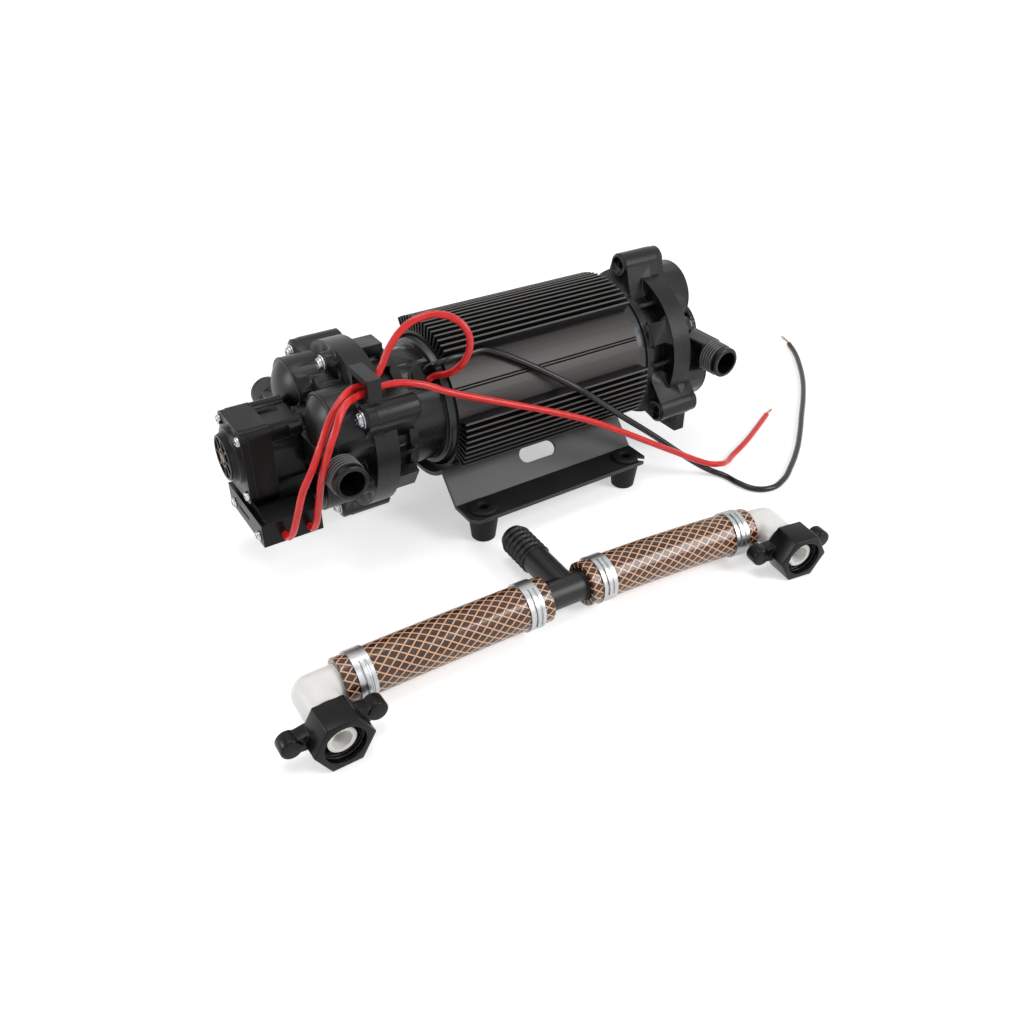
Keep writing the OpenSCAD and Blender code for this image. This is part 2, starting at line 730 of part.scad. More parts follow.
module valve_housing() {
    boss_top = drive_l + lug_l;
    valley_r = 6.4;
    difference() {
        union() {
            translate([0, 0, drive_l]) linear_extrude(height = front_u - drive_l) {
                circle(r = flange_r);
                for (a = lug_angles) rotate(a) lug_outline(lug_r);
            }
            translate([0, 0, front_u - 1]) cylinder(r = deck_r, h = deck_u - front_u + 1);
            round_copies(lug_angles) {
                translate([0, 0, front_u - 1]) linear_extrude(height = boss_top - front_u)
                    lug_outline(lug_r - 0.3);
                translate([lug_ring_r, 0, boss_top - 1.2])
                    cylinder(r1 = lug_r - 0.5, r2 = lug_r - 1.5, h = 1.2);
                translate([dome_ring_r, 0, 0]) dome();
            }
            round_copies(valley_angles) {
                translate([valley_ring_r, 0, front_u - 1]) cylinder(r = valley_r, h = 7);
                translate([30, -valley_r + 0.1, front_u - 1])
                    cube([valley_ring_r - 30, 2 * valley_r - 0.2, 7]);
            }
            translate([0, 0, front_u]) cylinder(r = hub_r, h = cap_u - 5 - front_u);
            translate([0, 0, cap_u - 5 - eps]) cylinder(r = hub_r - 3, h = 5 + eps);
            port_outside();
            mirror([0, 1, 0]) port_outside();
            wire_loop();
        }
        translate([0, 0, drive_l - 1]) lobes(lobe_r, plate_top - drive_l + 1);
        round_copies(lug_angles) translate([piston_ring_r, 0, plate_top - eps])
            cylinder(r = chamber_r - 1, h = 7);
        translate([0, 0, plate_top + 2]) rotate_extrude()
            translate([19, 0]) square([6, 5]);
        translate([0, 0, plate_top - eps]) cylinder(r = 9.5, h = port_u + 1 - plate_top);
        translate([0, 0, cap_u - 1.4]) cylinder(r = hub_r - 6, h = 2);
        translate([0, -24, port_u]) rotate([90, 0, 0]) cylinder(r = port_bore_r - 1, h = port_reach);
        translate([0, 0, port_u]) rotate([-90, 0, 0]) cylinder(r = port_bore_r - 1, h = port_reach);
        for (m = [0, 1]) mirror([0, m, 0]) translate([0, port_mouth_l - port_reach, port_u])
            rotate([90, 0, 0]) cylinder(r = port_bore_r, h = port_mouth_l + 1);
        translate([5, -24, plate_top]) cylinder(r = 5, h = port_u - plate_top);
        round_copies(lug_angles) translate([lug_ring_r, 0, 0])
            cylinder(r = screw_r + seat_gap, h = 60);
        round_copies(valley_angles) translate([valley_ring_r, 0, 0])
            cylinder(r = screw_r + seat_gap, h = 60);
    }
}

// Plate with a chamber over each piston, inlet holes in it and outlet holes to the middle
module valve_plate() {
    translate([0, 0, plate_u]) difference() {
        lobes(lobe_r - seat_gap, plate_h - 0.02);
        translate([0, 0, chamber_h]) cylinder(r = valve_bore_r, h = plate_h);
        round_copies(lug_angles) {
            translate([piston_ring_r, 0, -1]) cylinder(r = chamber_r, h = chamber_h + 1);
            translate([piston_ring_r, 0, 0]) cylinder(r = valve_bore_r, h = plate_h + 1);
            for (a = [0 : 90 : 270]) translate([piston_ring_r, 0, 0]) rotate([0, 0, a + 45])
                translate([3.8, 0, 0]) cylinder(r = 1.4, h = plate_h + 1, $fn = 24);
            translate([6, 0, chamber_h + 0.6]) cylinder(r = 1.3, h = plate_h, $fn = 24);
            translate([6, -1.3, chamber_h - 1.4]) cube([8, 2.6, 2.6]);
        }
    }
}

// Umbrella valve: a thin cap with a stem through the plate
module umbrella(cap_r, stem_l) {
    rotate_extrude() polygon([
        [0, 0], [cap_r, 0], [cap_r, 0.4], [2.4, 1.1], [0, 1.3]
    ]);
    translate([0, 0, -stem_l]) cylinder(r = valve_bore_r - 0.1, h = stem_l + 0.2, $fn = 32);
}

module check_valves() {
    web_u = plate_u + chamber_h;
    round_copies(lug_angles) translate([piston_ring_r, 0, web_u - 0.02]) mirror([0, 0, 1])
        umbrella(5.8, plate_h - chamber_h);
    translate([0, 0, plate_top]) umbrella(8.6, 2);
}

module head_screws() {
    round_copies(lug_angles) translate([lug_ring_r, 0, drive_l + lug_l]) mirror([0, 0, 1])
        pan_screw(drive_l + lug_l - 6);
    round_copies(valley_angles) translate([valley_ring_r, 0, front_u + 6]) mirror([0, 0, 1])
        pan_screw(front_u - 1);
}

module right_end_cap() {
    color(black_plastic) head_right() {
        translate([0, 0, cap_u]) rotate_extrude() polygon([
            [0, -1.2], [hub_r - 6.3, -1.2], [hub_r - 6.3, 0], [hub_r + 2, 0], [hub_r + 3, 1],
            [hub_r + 3, 4], [hub_r + 1.5, 5.5], [0, 6.5]
        ]);
    }
}

// Pressure switch at the left head, drawn with heights from the motor axis
switch_x1 = left_x - cap_u;
switch_x0 = switch_x1 - switch_l;
cover_x0 = switch_x0 - cover_t;
half_w = switch_w / 2;
box_y0 = -33;
box_y1 = 20;
box_top = -switch_low - 4;
box_low = -switch_low - 4 - box_h;
spring_r = 9;

module switch_body() {
    color(black_plastic) difference() {
        union() {
            axis_bar([switch_x0, -half_w, -switch_low], [switch_x0 + 13, half_w, switch_top], 5);
            axis_bar([switch_x0 + 12, -half_w + 3, -switch_low], [switch_x1, half_w - 3, switch_top - 2], 4);
            axis_box([switch_x0 + 12, -half_w + 1, -switch_low], [switch_x1, half_w - 1, -14]);
            axis_box([switch_x0 + 12, -half_w + 0.5, 6], [switch_x1 - 3, half_w - 0.5, 12]);
            for (y = [4, 12]) translate([switch_x0 + 12, y, axis_h + switch_top - 3.5])
                rotate([0, 90, 0]) cylinder(r = y == 12 ? 4 : 3, h = switch_l - (y == 12 ? 12 : 18));
            for (y = [-half_w + 3, half_w - 3]) axis_bar(
                [switch_x1 - 7, y - 3.2, 12], [switch_x1, y + 3.2, 18], 1.5);
        }
        translate([switch_x0 - 1, 0, 0]) motor_axis() cylinder(r = spring_r + 3.4, h = 19);
        translate([switch_x0 + 17, 0, 0]) motor_axis()
            cylinder(r = 6.2, h = switch_x1 - switch_x0 - 16);
    }
}

module switch_cover() {
    color("#232426") difference() {
        union() {
            axis_bar([cover_x0 + 2, -half_w, -switch_low], [switch_x0, half_w, switch_top], 6);
            translate([cover_x0, 0, 0]) motor_axis() cylinder(r = half_w - 1.5, h = 3);
            translate([cover_x0 - 3.4, 0, 0]) motor_axis()
                cylinder(r1 = half_w - 5, r2 = half_w - 3.4, h = 3.6);
        }
        translate([cover_x0 + 3, 0, 0]) motor_axis() cylinder(r = spring_r + 3.4, h = 10);
        translate([cover_x0 - 5, 0, 0]) motor_axis() cylinder(r = 3.2 + run_gap, h = 12);
        for (y = [-1, 1]) for (z = [-1, 1])
            translate([cover_x0 - 1, y * (half_w - 3.6), axis_h + z * 17.4 - 1.75]) rotate([0, 90, 0])
                cylinder(r = 1.6 + seat_gap, h = 12, $fn = 32);
    }
}

module small_screw(h) {
    translate([0, 0, -2]) cylinder(r1 = 2.6, r2 = 3.1, h = 0.8);
    translate([0, 0, -1.2]) cylinder(r = 3.1, h = 1.2);
    cylinder(r = 1.6, h = h, $fn = 32);
}

box_screw_y = [-27, 12];
plate_t = 3;

module switch_screws() {
    color(bright_steel) {
        for (y = [-1, 1]) for (z = [-1, 1])
            translate([cover_x0 + 2, y * (half_w - 3.6), axis_h + z * 17.4 - 1.75])
                rotate([0, 90, 0]) small_screw(3.9);
        for (y = box_screw_y) translate([box_x0 - plate_t, y, axis_h + box_low + 5])
            rotate([0, 90, 0]) small_screw(plate_t + 8);
    }
}

// Slotted screw that sets the cut-off pressure
module adjusting_screw() {
    color("#9a7448") translate([cover_x0, 0, 0]) motor_axis() difference() {
        union() {
            translate([0, 0, -4.4]) cylinder(r = 3.2, h = 8);
            translate([0, 0, 3.3]) cylinder(r = spring_r - 0.5, h = 2);
            translate([0, 0, 5]) cylinder(r = 3, h = 3);
        }
        translate([-4, -0.5, -5]) cube([8, 1, 1.8]);
    }
}

module switch_spring() {
    turns = 6;
    x0 = cover_x0 + 5.5;
    x1 = switch_x0 + 14.6;
    step = (x1 - x0) / turns;
    color(bright_steel) translate([x0, 0, 0]) motor_axis() for (k = [0 : turns - 1])
        translate([0, 0, k * step]) {
            tube(spring_r - 1, spring_r - 3, 1.4);
            if (k < turns - 1) translate([spring_r - 2.6, -0.8, 1.3]) cube([1.2, 1.6, step - 1.2]);
        }
}

// Plunger that the water presses against the spring
module switch_plunger() {
    color("#d8d8d2") translate([switch_x0 + 15, 0, 0]) motor_axis() {
        cylinder(r = spring_r - 0.5, h = 1.8);
        translate([0, 0, 1.8 - eps]) cylinder(r = 5.8, h = 13);
    }
}

// Box for the microswitch under the block
box_x0 = switch_x0 - 2;
box_x1 = switch_x1 - 0.6;
wire_exit_x = [switch_x0 + 7.5, switch_x0 + 22.5];
wire_exit_z = -38.5;
box_wall = 1.8;

module switch_box() {
    color(black_plastic) difference() {
        union() {
            axis_box([box_x0, box_y0, box_low], [box_x1, box_y1, box_top]);
            translate([box_x0, 0, axis_h]) rotate([90, 0, 90]) linear_extrude(height = box_x1 - box_x0)
                polygon([
                    [box_y0, box_top - 0.02], [-half_w - 1, -switch_low - 0.1],
                    [half_w, -switch_low - 0.1], [box_y1, box_top - 0.02]
                ]);
        }
        axis_box([box_x0 - 1, box_y0 + box_wall, box_low + box_wall],
            [box_x1 - box_wall, box_y1 - box_wall, box_top - 0.5]);
        for (x = wire_exit_x) translate([x, box_y0 + 5, axis_h + wire_exit_z]) rotate([90, 0, 0])
            cylinder(d = wire_d + 2 * seat_gap, h = 10, $fn = 24);
    }
}

module switch_box_plate() {
    color("#232426") difference() {
        union() {
            axis_box([box_x0 - plate_t, box_y0, box_low], [box_x0, box_y1, box_top]);
            axis_box([box_x0 - eps, box_y0 + box_wall + seat_gap, box_low + box_wall + seat_gap],
                [box_x0 + 1.6, box_y1 - box_wall - seat_gap, box_top - 0.7]);
            for (y = box_screw_y) translate([box_x0, y, axis_h + box_low + 5]) rotate([0, 90, 0])
                cylinder(r = 3, h = 9, $fn = 32);
        }
        for (y = box_screw_y) translate([box_x0 - plate_t - 1, y, axis_h + box_low + 5])
            rotate([0, 90, 0]) cylinder(r = 1.6 + seat_gap, h = 20, $fn = 32);
        axis_box([box_x0 - plate_t - 1, -12, box_low + 6], [box_x0 - plate_t + 1, 4, box_low + 8]);
    }
}

module microswitch() {
    m_x0 = box_x0 + 12;
    m_z0 = box_low + box_wall + seat_gap;
    color("#3b3d42") {
        axis_box([m_x0, -12, m_z0], [m_x0 + 16, 8, box_top - 1.2]);
        for (y = [-8, -2, 4]) axis_box([m_x0 - 4, y - 1.5, m_z0 + 3], [m_x0 + 0.01, y + 1.5, m_z0 + 3.8]);
    }
}

// Wire routes: points chosen by hand on the floor frame, about one every three diameters
red_link_route = [
    [-170.5, -30, 31.8], [-170.5, -37, 32], [-169.5, -43, 37.5], [-167, -47.5, 50],
    [-162.5, -51, 68], [-157, -53, 80], [-150, -53, 94], [-142, -49, 104.5],
    [-133, -44, 110.5], [-125, -39.5, 112.4], [-118, -37.6, 111.9], [-111, -37, 112.9],
    [-105, -36, 119], [-100, -35.5, 127.5], [-90, -36.5, 138.5], [-80, -38, 142.5], [-71, -41, 143],
    [-63.5, -46, 140], [-59, -50, 133.5], [-58, -50.5, 125.5], [-59.5, -49, 118],
    [-62.3, -44, 110.3], [-64.8, -37.5, 105], [-66.5, -31.5, 102], [-68.4, -26.4, 99.2],
    [-71, -24.5, 96.9], [-73.5, -22.9, 94.9]
];
red_supply_route = [
    [-155.5, -30, 31.8], [-155.5, -37, 32.2], [-155, -42, 38], [-153.5, -47, 54],
    [-152, -52, 72], [-149, -57, 88.5], [-143.5, -57.5, 101.5], [-135, -51.5, 110],
    [-125, -44.7, 110.2], [-116, -42.6, 110], [-106, -43, 111.5], [-90, -46.3, 109.2],
    [-70, -49.5, 99.6], [-50, -53, 91.2], [-30, -56.8, 83.3], [-8, -60.8, 74.3],
    [15, -64.6, 63.8], [38, -68.7, 51.2], [61, -73, 37.5], [82, -76.5, 25], [100, -80, 14.5],
    [110, -82, 9.6], [119, -83, 7], [129, -79.5, 3.6], [141, -73.5, 2], [161, -65.5, 2],
    [182, -55.5, 2], [203, -45, 2]
];
black_supply_route = [
    [-73.5, -18.3, 98.5], [-71, -19.9, 100.5], [-68.6, -21.8, 103], [-66.8, -25, 105.6],
    [-63.5, -27.6, 107.6], [-57, -28.3, 109], [-47, -27.8, 108.3], [-36, -27.6, 108.2],
    [-28, -31, 105.8], [-18, -36, 101], [-6, -42, 94.2], [5, -48, 87.3], [17, -53.8, 79.2],
    [34, -55, 65.5], [52, -55, 50.5], [66, -58.5, 39.5], [79, -64, 29], [92, -70.5, 18],
    [104, -76.5, 8.5], [112, -82, 3.4], [117, -90, 2], [118.5, -102, 2], [122.5, -112.5, 2],
    [132, -117.8, 2], [146, -115.5, 2], [164, -106, 2], [184, -93, 2], [204, -77.5, 2],
    [226, -59, 2], [248, -40.5, 2], [270, -20, 2], [289, 1, 2], [303, 19, 2], [312, 34, 2]
];
red_bare_route = [[203, -45, 2], [208, -42.5, 2], [213, -40.5, 1.4]];
black_bare_route = [[312, 34, 2], [315, 39, 2], [319, 49, 1.4]];

function unit(v) = v / norm(v);
function heading(p, i) = unit(p[min(i + 1, len(p) - 1)] - p[max(i - 1, 0)]);
function square_to(v, t) = unit(v - (v * t) * t);
function side_vectors(p, i, side) = i == len(p) ? [] :
    let (s = square_to(side, heading(p, i))) concat([s], side_vectors(p, i + 1, s));

// A closed tube swept along a route, one ring at each of its points
module swept_tube(p, r, sides) {
    across = side_vectors(p, 0, [0.3, 0.2, 1]);
    rings = [for (i = [0 : len(p) - 1]) for (k = [0 : sides - 1])
        let (a = k * 360 / sides, up = cross(heading(p, i), across[i]))
            p[i] + r * (cos(a) * across[i] + sin(a) * up)];
    walls = [for (i = [0 : len(p) - 2]) for (k = [0 : sides - 1])
        [i * sides + k, (i + 1) * sides + k, (i + 1) * sides + (k + 1) % sides,
            i * sides + (k + 1) % sides]];
    first_cap = [for (k = [0 : sides - 1]) k];
    last_cap = [for (k = [0 : sides - 1]) len(p) * sides - 1 - k];
    polyhedron(points = rings, faces = concat([first_cap], walls, [last_cap]), convexity = 10);
}

module red_link_wire() { color("#d21f22") swept_tube(red_link_route, wire_d / 2, 8); }
module red_supply_wire() { color("#d21f22") swept_tube(red_supply_route, wire_d / 2, 8); }
module black_supply_wire() { color("#141414") swept_tube(black_supply_route, wire_d / 2, 8); }
module red_bare_end() { color("#a9805a") swept_tube(red_bare_route, strand_d / 2, 8); }
module black_bare_end() { color("#a9805a") swept_tube(black_bare_route, strand_d / 2, 8); }

// Hose manifold: it lies on the floor in front of the pump, its barb towards the pump
kit_pos = [-53, -141];
kit_heading = -2.4;
band_r = hose_d / 2 + 0.04;
kit_z = band_r + clamp_t;
tee_left = 15;
tee_right = 10;
grip_l = 19;
barb_reach = 57;
left_bend = 2.4;
right_bend = 6.6;
spigot_r = hose_bore / 2 - 0.3;
end_gap = 13.6;
left_bend_r = left_hose_l / (left_bend * PI / 180);
right_bend_r = right_hose_l / (right_bend * PI / 180);
clamp_inset = 11;

module kit_frame() {
    translate([kit_pos[0], kit_pos[1], kit_z]) rotate([0, 0, kit_heading]) children();
}

// Frame at a point of the left hose, the given share of the way to its far end
module on_left_hose(share) {
    translate([-tee_left, -left_bend_r, 0]) rotate([0, 0, left_bend * share])
        translate([0, left_bend_r, 0]) rotate([0, -90, 0]) children();
}

// Frame at a point of the right hose, the given share of the way to its far end
module on_right_hose(share) {
    translate([tee_right, -right_bend_r, 0]) rotate([0, 0, -right_bend * share])
        translate([0, right_bend_r, 0]) rotate([0, 90, 0]) children();
}

module hose_ring() {
    difference() {
        circle(d = hose_d);
        circle(d = hose_bore);
    }
}

module left_hose() {
    color("#7a4a32") kit_frame() translate([-tee_left, -left_bend_r, 0]) rotate([0, 0, 90])
        rotate_extrude(angle = left_bend, $fn = 720) translate([left_bend_r, 0]) hose_ring();
}

module right_hose() {
    color("#7a4a32") kit_frame() translate([tee_right, -right_bend_r, 0])
        rotate([0, 0, 90 - right_bend])
        rotate_extrude(angle = right_bend, $fn = 720) translate([right_bend_r, 0]) hose_ring();
}

module tee_fitting() {
    barb_count = 6;
    barb_step = 4.2;
    barb_l = barb_count * barb_step;
    run_l = tee_left + tee_right;
    color("#202022") kit_frame() difference() {
        union() {
            translate([-tee_left, 0, 0]) rotate([0, 90, 0]) cylinder(r = fitting_r, h = run_l);
            translate([-tee_left - grip_l, 0, 0]) rotate([0, 90, 0])
                cylinder(r = spigot_r, h = grip_l + 0.4);
            translate([tee_right - 0.4, 0, 0]) rotate([0, 90, 0])
                cylinder(r = spigot_r, h = grip_l + 0.4);
            translate([-tee_left + 3, -0.8, 0]) cube([run_l - 6, 1.6, fitting_r + 0.8]);
            rotate([-90, 0, 0]) {
                cylinder(r = fitting_r, h = barb_reach - barb_l);
                for (k = [0 : barb_count - 1]) translate([0, 0, barb_reach - barb_l + k * barb_step])
                    cylinder(r1 = fitting_r + 1, r2 = fitting_r - 0.6, h = barb_step);
            }
        }
        translate([-tee_left - grip_l - 1, 0, 0]) rotate([0, 90, 0])
            cylinder(r = fitting_bore_r, h = run_l + 2 * grip_l + 2);
        rotate([-90, 0, 0]) cylinder(r = fitting_bore_r, h = barb_reach + 1);
    }
}

// Band clamp with the raised ear that was pinched to close it
module hose_clamp() {
    translate([0, 0, -clamp_w / 2]) {
        tube(band_r + clamp_t, band_r, clamp_w);
        rotate([0, 0, 130]) rotate_extrude(angle = 40)
            translate([band_r + clamp_t - 0.1, 0]) square([clamp_t + 0.1, clamp_w * 0.8]);
    }
}

module hose_clamps() {
    left_share = clamp_inset / left_hose_l;
    right_share = clamp_inset / right_hose_l;
    color("#c4c6c8") kit_frame() {
        for (share = [left_share, 1 - left_share]) on_left_hose(share)
            rotate([0, 0, -30]) hose_clamp();
        for (share = [right_share, 1 - right_share]) on_right_hose(share)
            rotate([0, 0, 150]) hose_clamp();
    }
}

// Swivel elbow, drawn with its hose end along z and its nut end along -y
nut_start = 18;
collar_w = 3.3;

module elbow() {
    color("#eeeeea") difference() {
        union() {
            translate([0, 0, -grip_l]) cylinder(r = spigot_r, h = grip_l + 1);
            translate([0, 0, seat_gap]) cylinder(r = elbow_r, h = end_gap - seat_gap);
            translate([0, 0, end_gap]) sphere(r = elbow_r);
            translate([0, 0, end_gap]) rotate([90, 0, 0]) {
                cylinder(r = elbow_r, h = nut_start - 0.6);
                cylinder(r = fitting_r, h = nut_start + collar_w + 2);
                translate([0, 0, nut_start + collar_w]) cylinder(r = port_r - 0.3, h = 2);
                cylinder(r = port_bore_r - 0.2, h = nut_start + nut_l - 4);
            }
        }
        translate([0, 0, -grip_l - 1]) cylinder(r = fitting_bore_r, h = grip_l + end_gap + 1);
        translate([0, 0, end_gap]) rotate([90, 0, 0])
            cylinder(r = fitting_bore_r, h = nut_start + nut_l);
    }
}

// Wing nut along z, its mouth at the far end
module wing_nut() {
    collar_l = 5.5;
    rear_wall = 3;
    knob_ring = 21.5;
    knob_r = 5.5;
    neck_start = nut_flats / 2 - 4;
    color("#1b1b1d") difference() {
        union() {
            translate([0, 0, collar_l]) rotate([0, 0, 30])
                cylinder(r = nut_flats / 2 / cos(30), h = nut_l - collar_l, $fn = 6);
            cylinder(r = nut_flats / 2 - 1.4, h = collar_l + eps);
            for (m = [0, 1]) mirror([0, m, 0]) {
                translate([0, knob_ring, 1]) cylinder(r = knob_r, h = 9);
                translate([-2.2, neck_start, 2]) cube([4.4, knob_ring - neck_start, 7]);
            }
        }
        translate([0, 0, -1]) cylinder(r = fitting_r + 0.3, h = rear_wall + 2);
        translate([0, 0, rear_wall]) cylinder(r = port_r + seat_gap, h = nut_l);
    }
}

// Place of the nut's rear face on the left and on the right elbow
module left_nut_frame() {
    kit_frame() on_left_hose(1) translate([0, 0, end_gap]) rotate([90, 0, 0])
        translate([0, 0, nut_start]) children();
}

module right_nut_frame() {
    kit_frame() on_right_hose(1) translate([0, 0, end_gap]) rotate([90, 0, 0])
        translate([0, 0, nut_start]) children();
}

module left_elbow() { kit_frame() on_left_hose(1) elbow(); }
module right_elbow() { kit_frame() on_right_hose(1) elbow(); }
module left_wing_nut() { left_nut_frame() wing_nut(); }
module right_wing_nut() { right_nut_frame() wing_nut(); }

module left_cam_hub() { color(dark_steel) head_left() cam_hub(); }
module right_cam_hub() { color(dark_steel) head_right() cam_hub(); }
module left_cam_bearing() { color(bright_steel) head_left() cam_bearing(); }
module right_cam_bearing() { color(bright_steel) head_right() cam_bearing(); }
module left_wobble_plate() { color("#3f4348") head_left() wobble_plate(); }
module right_wobble_plate() { color("#3f4348") head_right() wobble_plate(); }
module left_pistons() { color("#e4e2da") head_left() pistons(); }
module right_pistons() { color("#e4e2da") head_right() pistons(); }
module left_diaphragm() { color("#2a2a2a") head_left() diaphragm(); }
module right_diaphragm() { color("#2a2a2a") head_right() diaphragm(); }
module left_drive_housing() { color(black_plastic) head_left() drive_housing(shaft_r + 8); }
module right_drive_housing() { color(black_plastic) head_right() drive_housing(shaft_r + 8); }
module left_valve_housing() { color(black_plastic) head_left() valve_housing(); }
module right_valve_housing() { color(black_plastic) head_right() valve_housing(); }
module left_valve_plate() { color("#d9d8d2") head_left() valve_plate(); }
module right_valve_plate() { color("#d9d8d2") head_right() valve_plate(); }
module left_check_valves() { color("#34363a") head_left() check_valves(); }
module right_check_valves() { color("#34363a") head_right() check_valves(); }
module left_head_screws() { color(bright_steel) head_left() head_screws(); }
module right_head_screws() { color(bright_steel) head_right() head_screws(); }

base_bracket();
rubber_feet();
bracket_screws();
heat_sink_sleeve();
motor_can();
brush_housing();
drive_end_plate();
shaft_bearings();
magnets();
brush_card();
brushes();
brush_springs();
wire_grommet();
motor_shaft();
armature_core();
armature_windings();
commutator();
left_cam_hub();
right_cam_hub();
left_cam_bearing();
right_cam_bearing();
left_wobble_plate();
right_wobble_plate();
left_pistons();
right_pistons();
left_diaphragm();
right_diaphragm();
left_drive_housing();
right_drive_housing();
left_valve_housing();
right_valve_housing();
left_valve_plate();
right_valve_plate();
left_check_valves();
right_check_valves();
left_head_screws();
right_head_screws();
right_end_cap();
switch_body();
switch_cover();
switch_screws();
adjusting_screw();
switch_spring();
switch_plunger();
microswitch();
switch_box();
switch_box_plate();
red_link_wire();
red_supply_wire();
black_supply_wire();
red_bare_end();
black_bare_end();
tee_fitting();
left_hose();
right_hose();
hose_clamps();
left_elbow();
right_elbow();
left_wing_nut();
right_wing_nut();
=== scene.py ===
"""Looks of a twin-head diaphragm pump with its hose manifold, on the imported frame."""
import json
import logging
import math
from collections.abc import Callable, Sequence
from dataclasses import dataclass, field
from enum import Enum

import bpy
from mathutils import Euler, Matrix, Vector

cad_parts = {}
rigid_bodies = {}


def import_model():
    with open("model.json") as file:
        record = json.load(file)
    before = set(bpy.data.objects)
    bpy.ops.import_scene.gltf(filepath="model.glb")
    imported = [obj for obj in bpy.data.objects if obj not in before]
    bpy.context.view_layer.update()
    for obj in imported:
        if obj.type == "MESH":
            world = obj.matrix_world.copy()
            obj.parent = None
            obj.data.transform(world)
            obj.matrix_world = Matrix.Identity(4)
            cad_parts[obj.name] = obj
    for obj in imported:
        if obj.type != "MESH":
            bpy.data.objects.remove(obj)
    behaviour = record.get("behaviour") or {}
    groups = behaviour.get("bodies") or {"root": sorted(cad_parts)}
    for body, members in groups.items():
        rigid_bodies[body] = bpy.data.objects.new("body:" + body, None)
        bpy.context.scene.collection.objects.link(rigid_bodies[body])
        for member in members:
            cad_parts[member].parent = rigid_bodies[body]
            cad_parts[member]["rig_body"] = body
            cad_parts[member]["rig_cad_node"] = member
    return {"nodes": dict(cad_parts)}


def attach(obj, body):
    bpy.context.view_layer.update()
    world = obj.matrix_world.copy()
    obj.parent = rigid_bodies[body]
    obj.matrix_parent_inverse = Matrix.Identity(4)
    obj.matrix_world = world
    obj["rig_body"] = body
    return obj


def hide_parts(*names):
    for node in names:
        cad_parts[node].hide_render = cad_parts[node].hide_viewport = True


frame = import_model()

MM = 0.001
# Height of the motor axis over the floor, in mm
AXIS_H = 70.3
LOG = logging.getLogger("pump")
Point = tuple[float, float, float]
Socket = bpy.types.NodeSocket

# The Mix node's own numbers for its colour sockets
MIX_SHARE = 0
MIX_FIRST = 6
MIX_SECOND = 7
MIX_RESULT = 2
TONES = {"data_type": "RGBA"}
# A Map Range node whose ends are soft
SOFT = {"interpolation_type": "SMOOTHSTEP"}


# Finishes


def linear(colour: str) -> tuple[float, float, float, float]:
    """Turns an sRGB hex colour into linear light.

    Args:
        colour: six hex digits after a hash sign.

    Returns:
        Red, green, blue and alpha for a shader socket.
    """
    parts = [int(colour[i:i + 2], 16) / 255 for i in (1, 3, 5)]
    light = [p / 12.92 if p <= 0.04045 else ((p + 0.055) / 1.055) ** 2.4 for p in parts]
    return (light[0], light[1], light[2], 1.0)


def add_node(tree: bpy.types.NodeTree, kind: str, inputs: dict | None = None,
             **settings: object) -> bpy.types.Node:
    """Adds one node with its settings and links.

    Args:
        tree: node tree that takes the node.
        kind: Blender's name of the node type.
        inputs: for each input, by name or number, its value, or the socket or node that feeds
            it, a node by its first output.
        settings: attributes of the node.

    Returns:
        The new node.
    """
    node = tree.nodes.new(kind)
    for name, value in settings.items():
        setattr(node, name, value)
    for key, value in (inputs or {}).items():
        if isinstance(value, bpy.types.Node):
            value = value.outputs[0]
        if isinstance(value, bpy.types.NodeSocket):
            tree.links.new(value, node.inputs[key])
        else:
            node.inputs[key].default_value = value
    return node


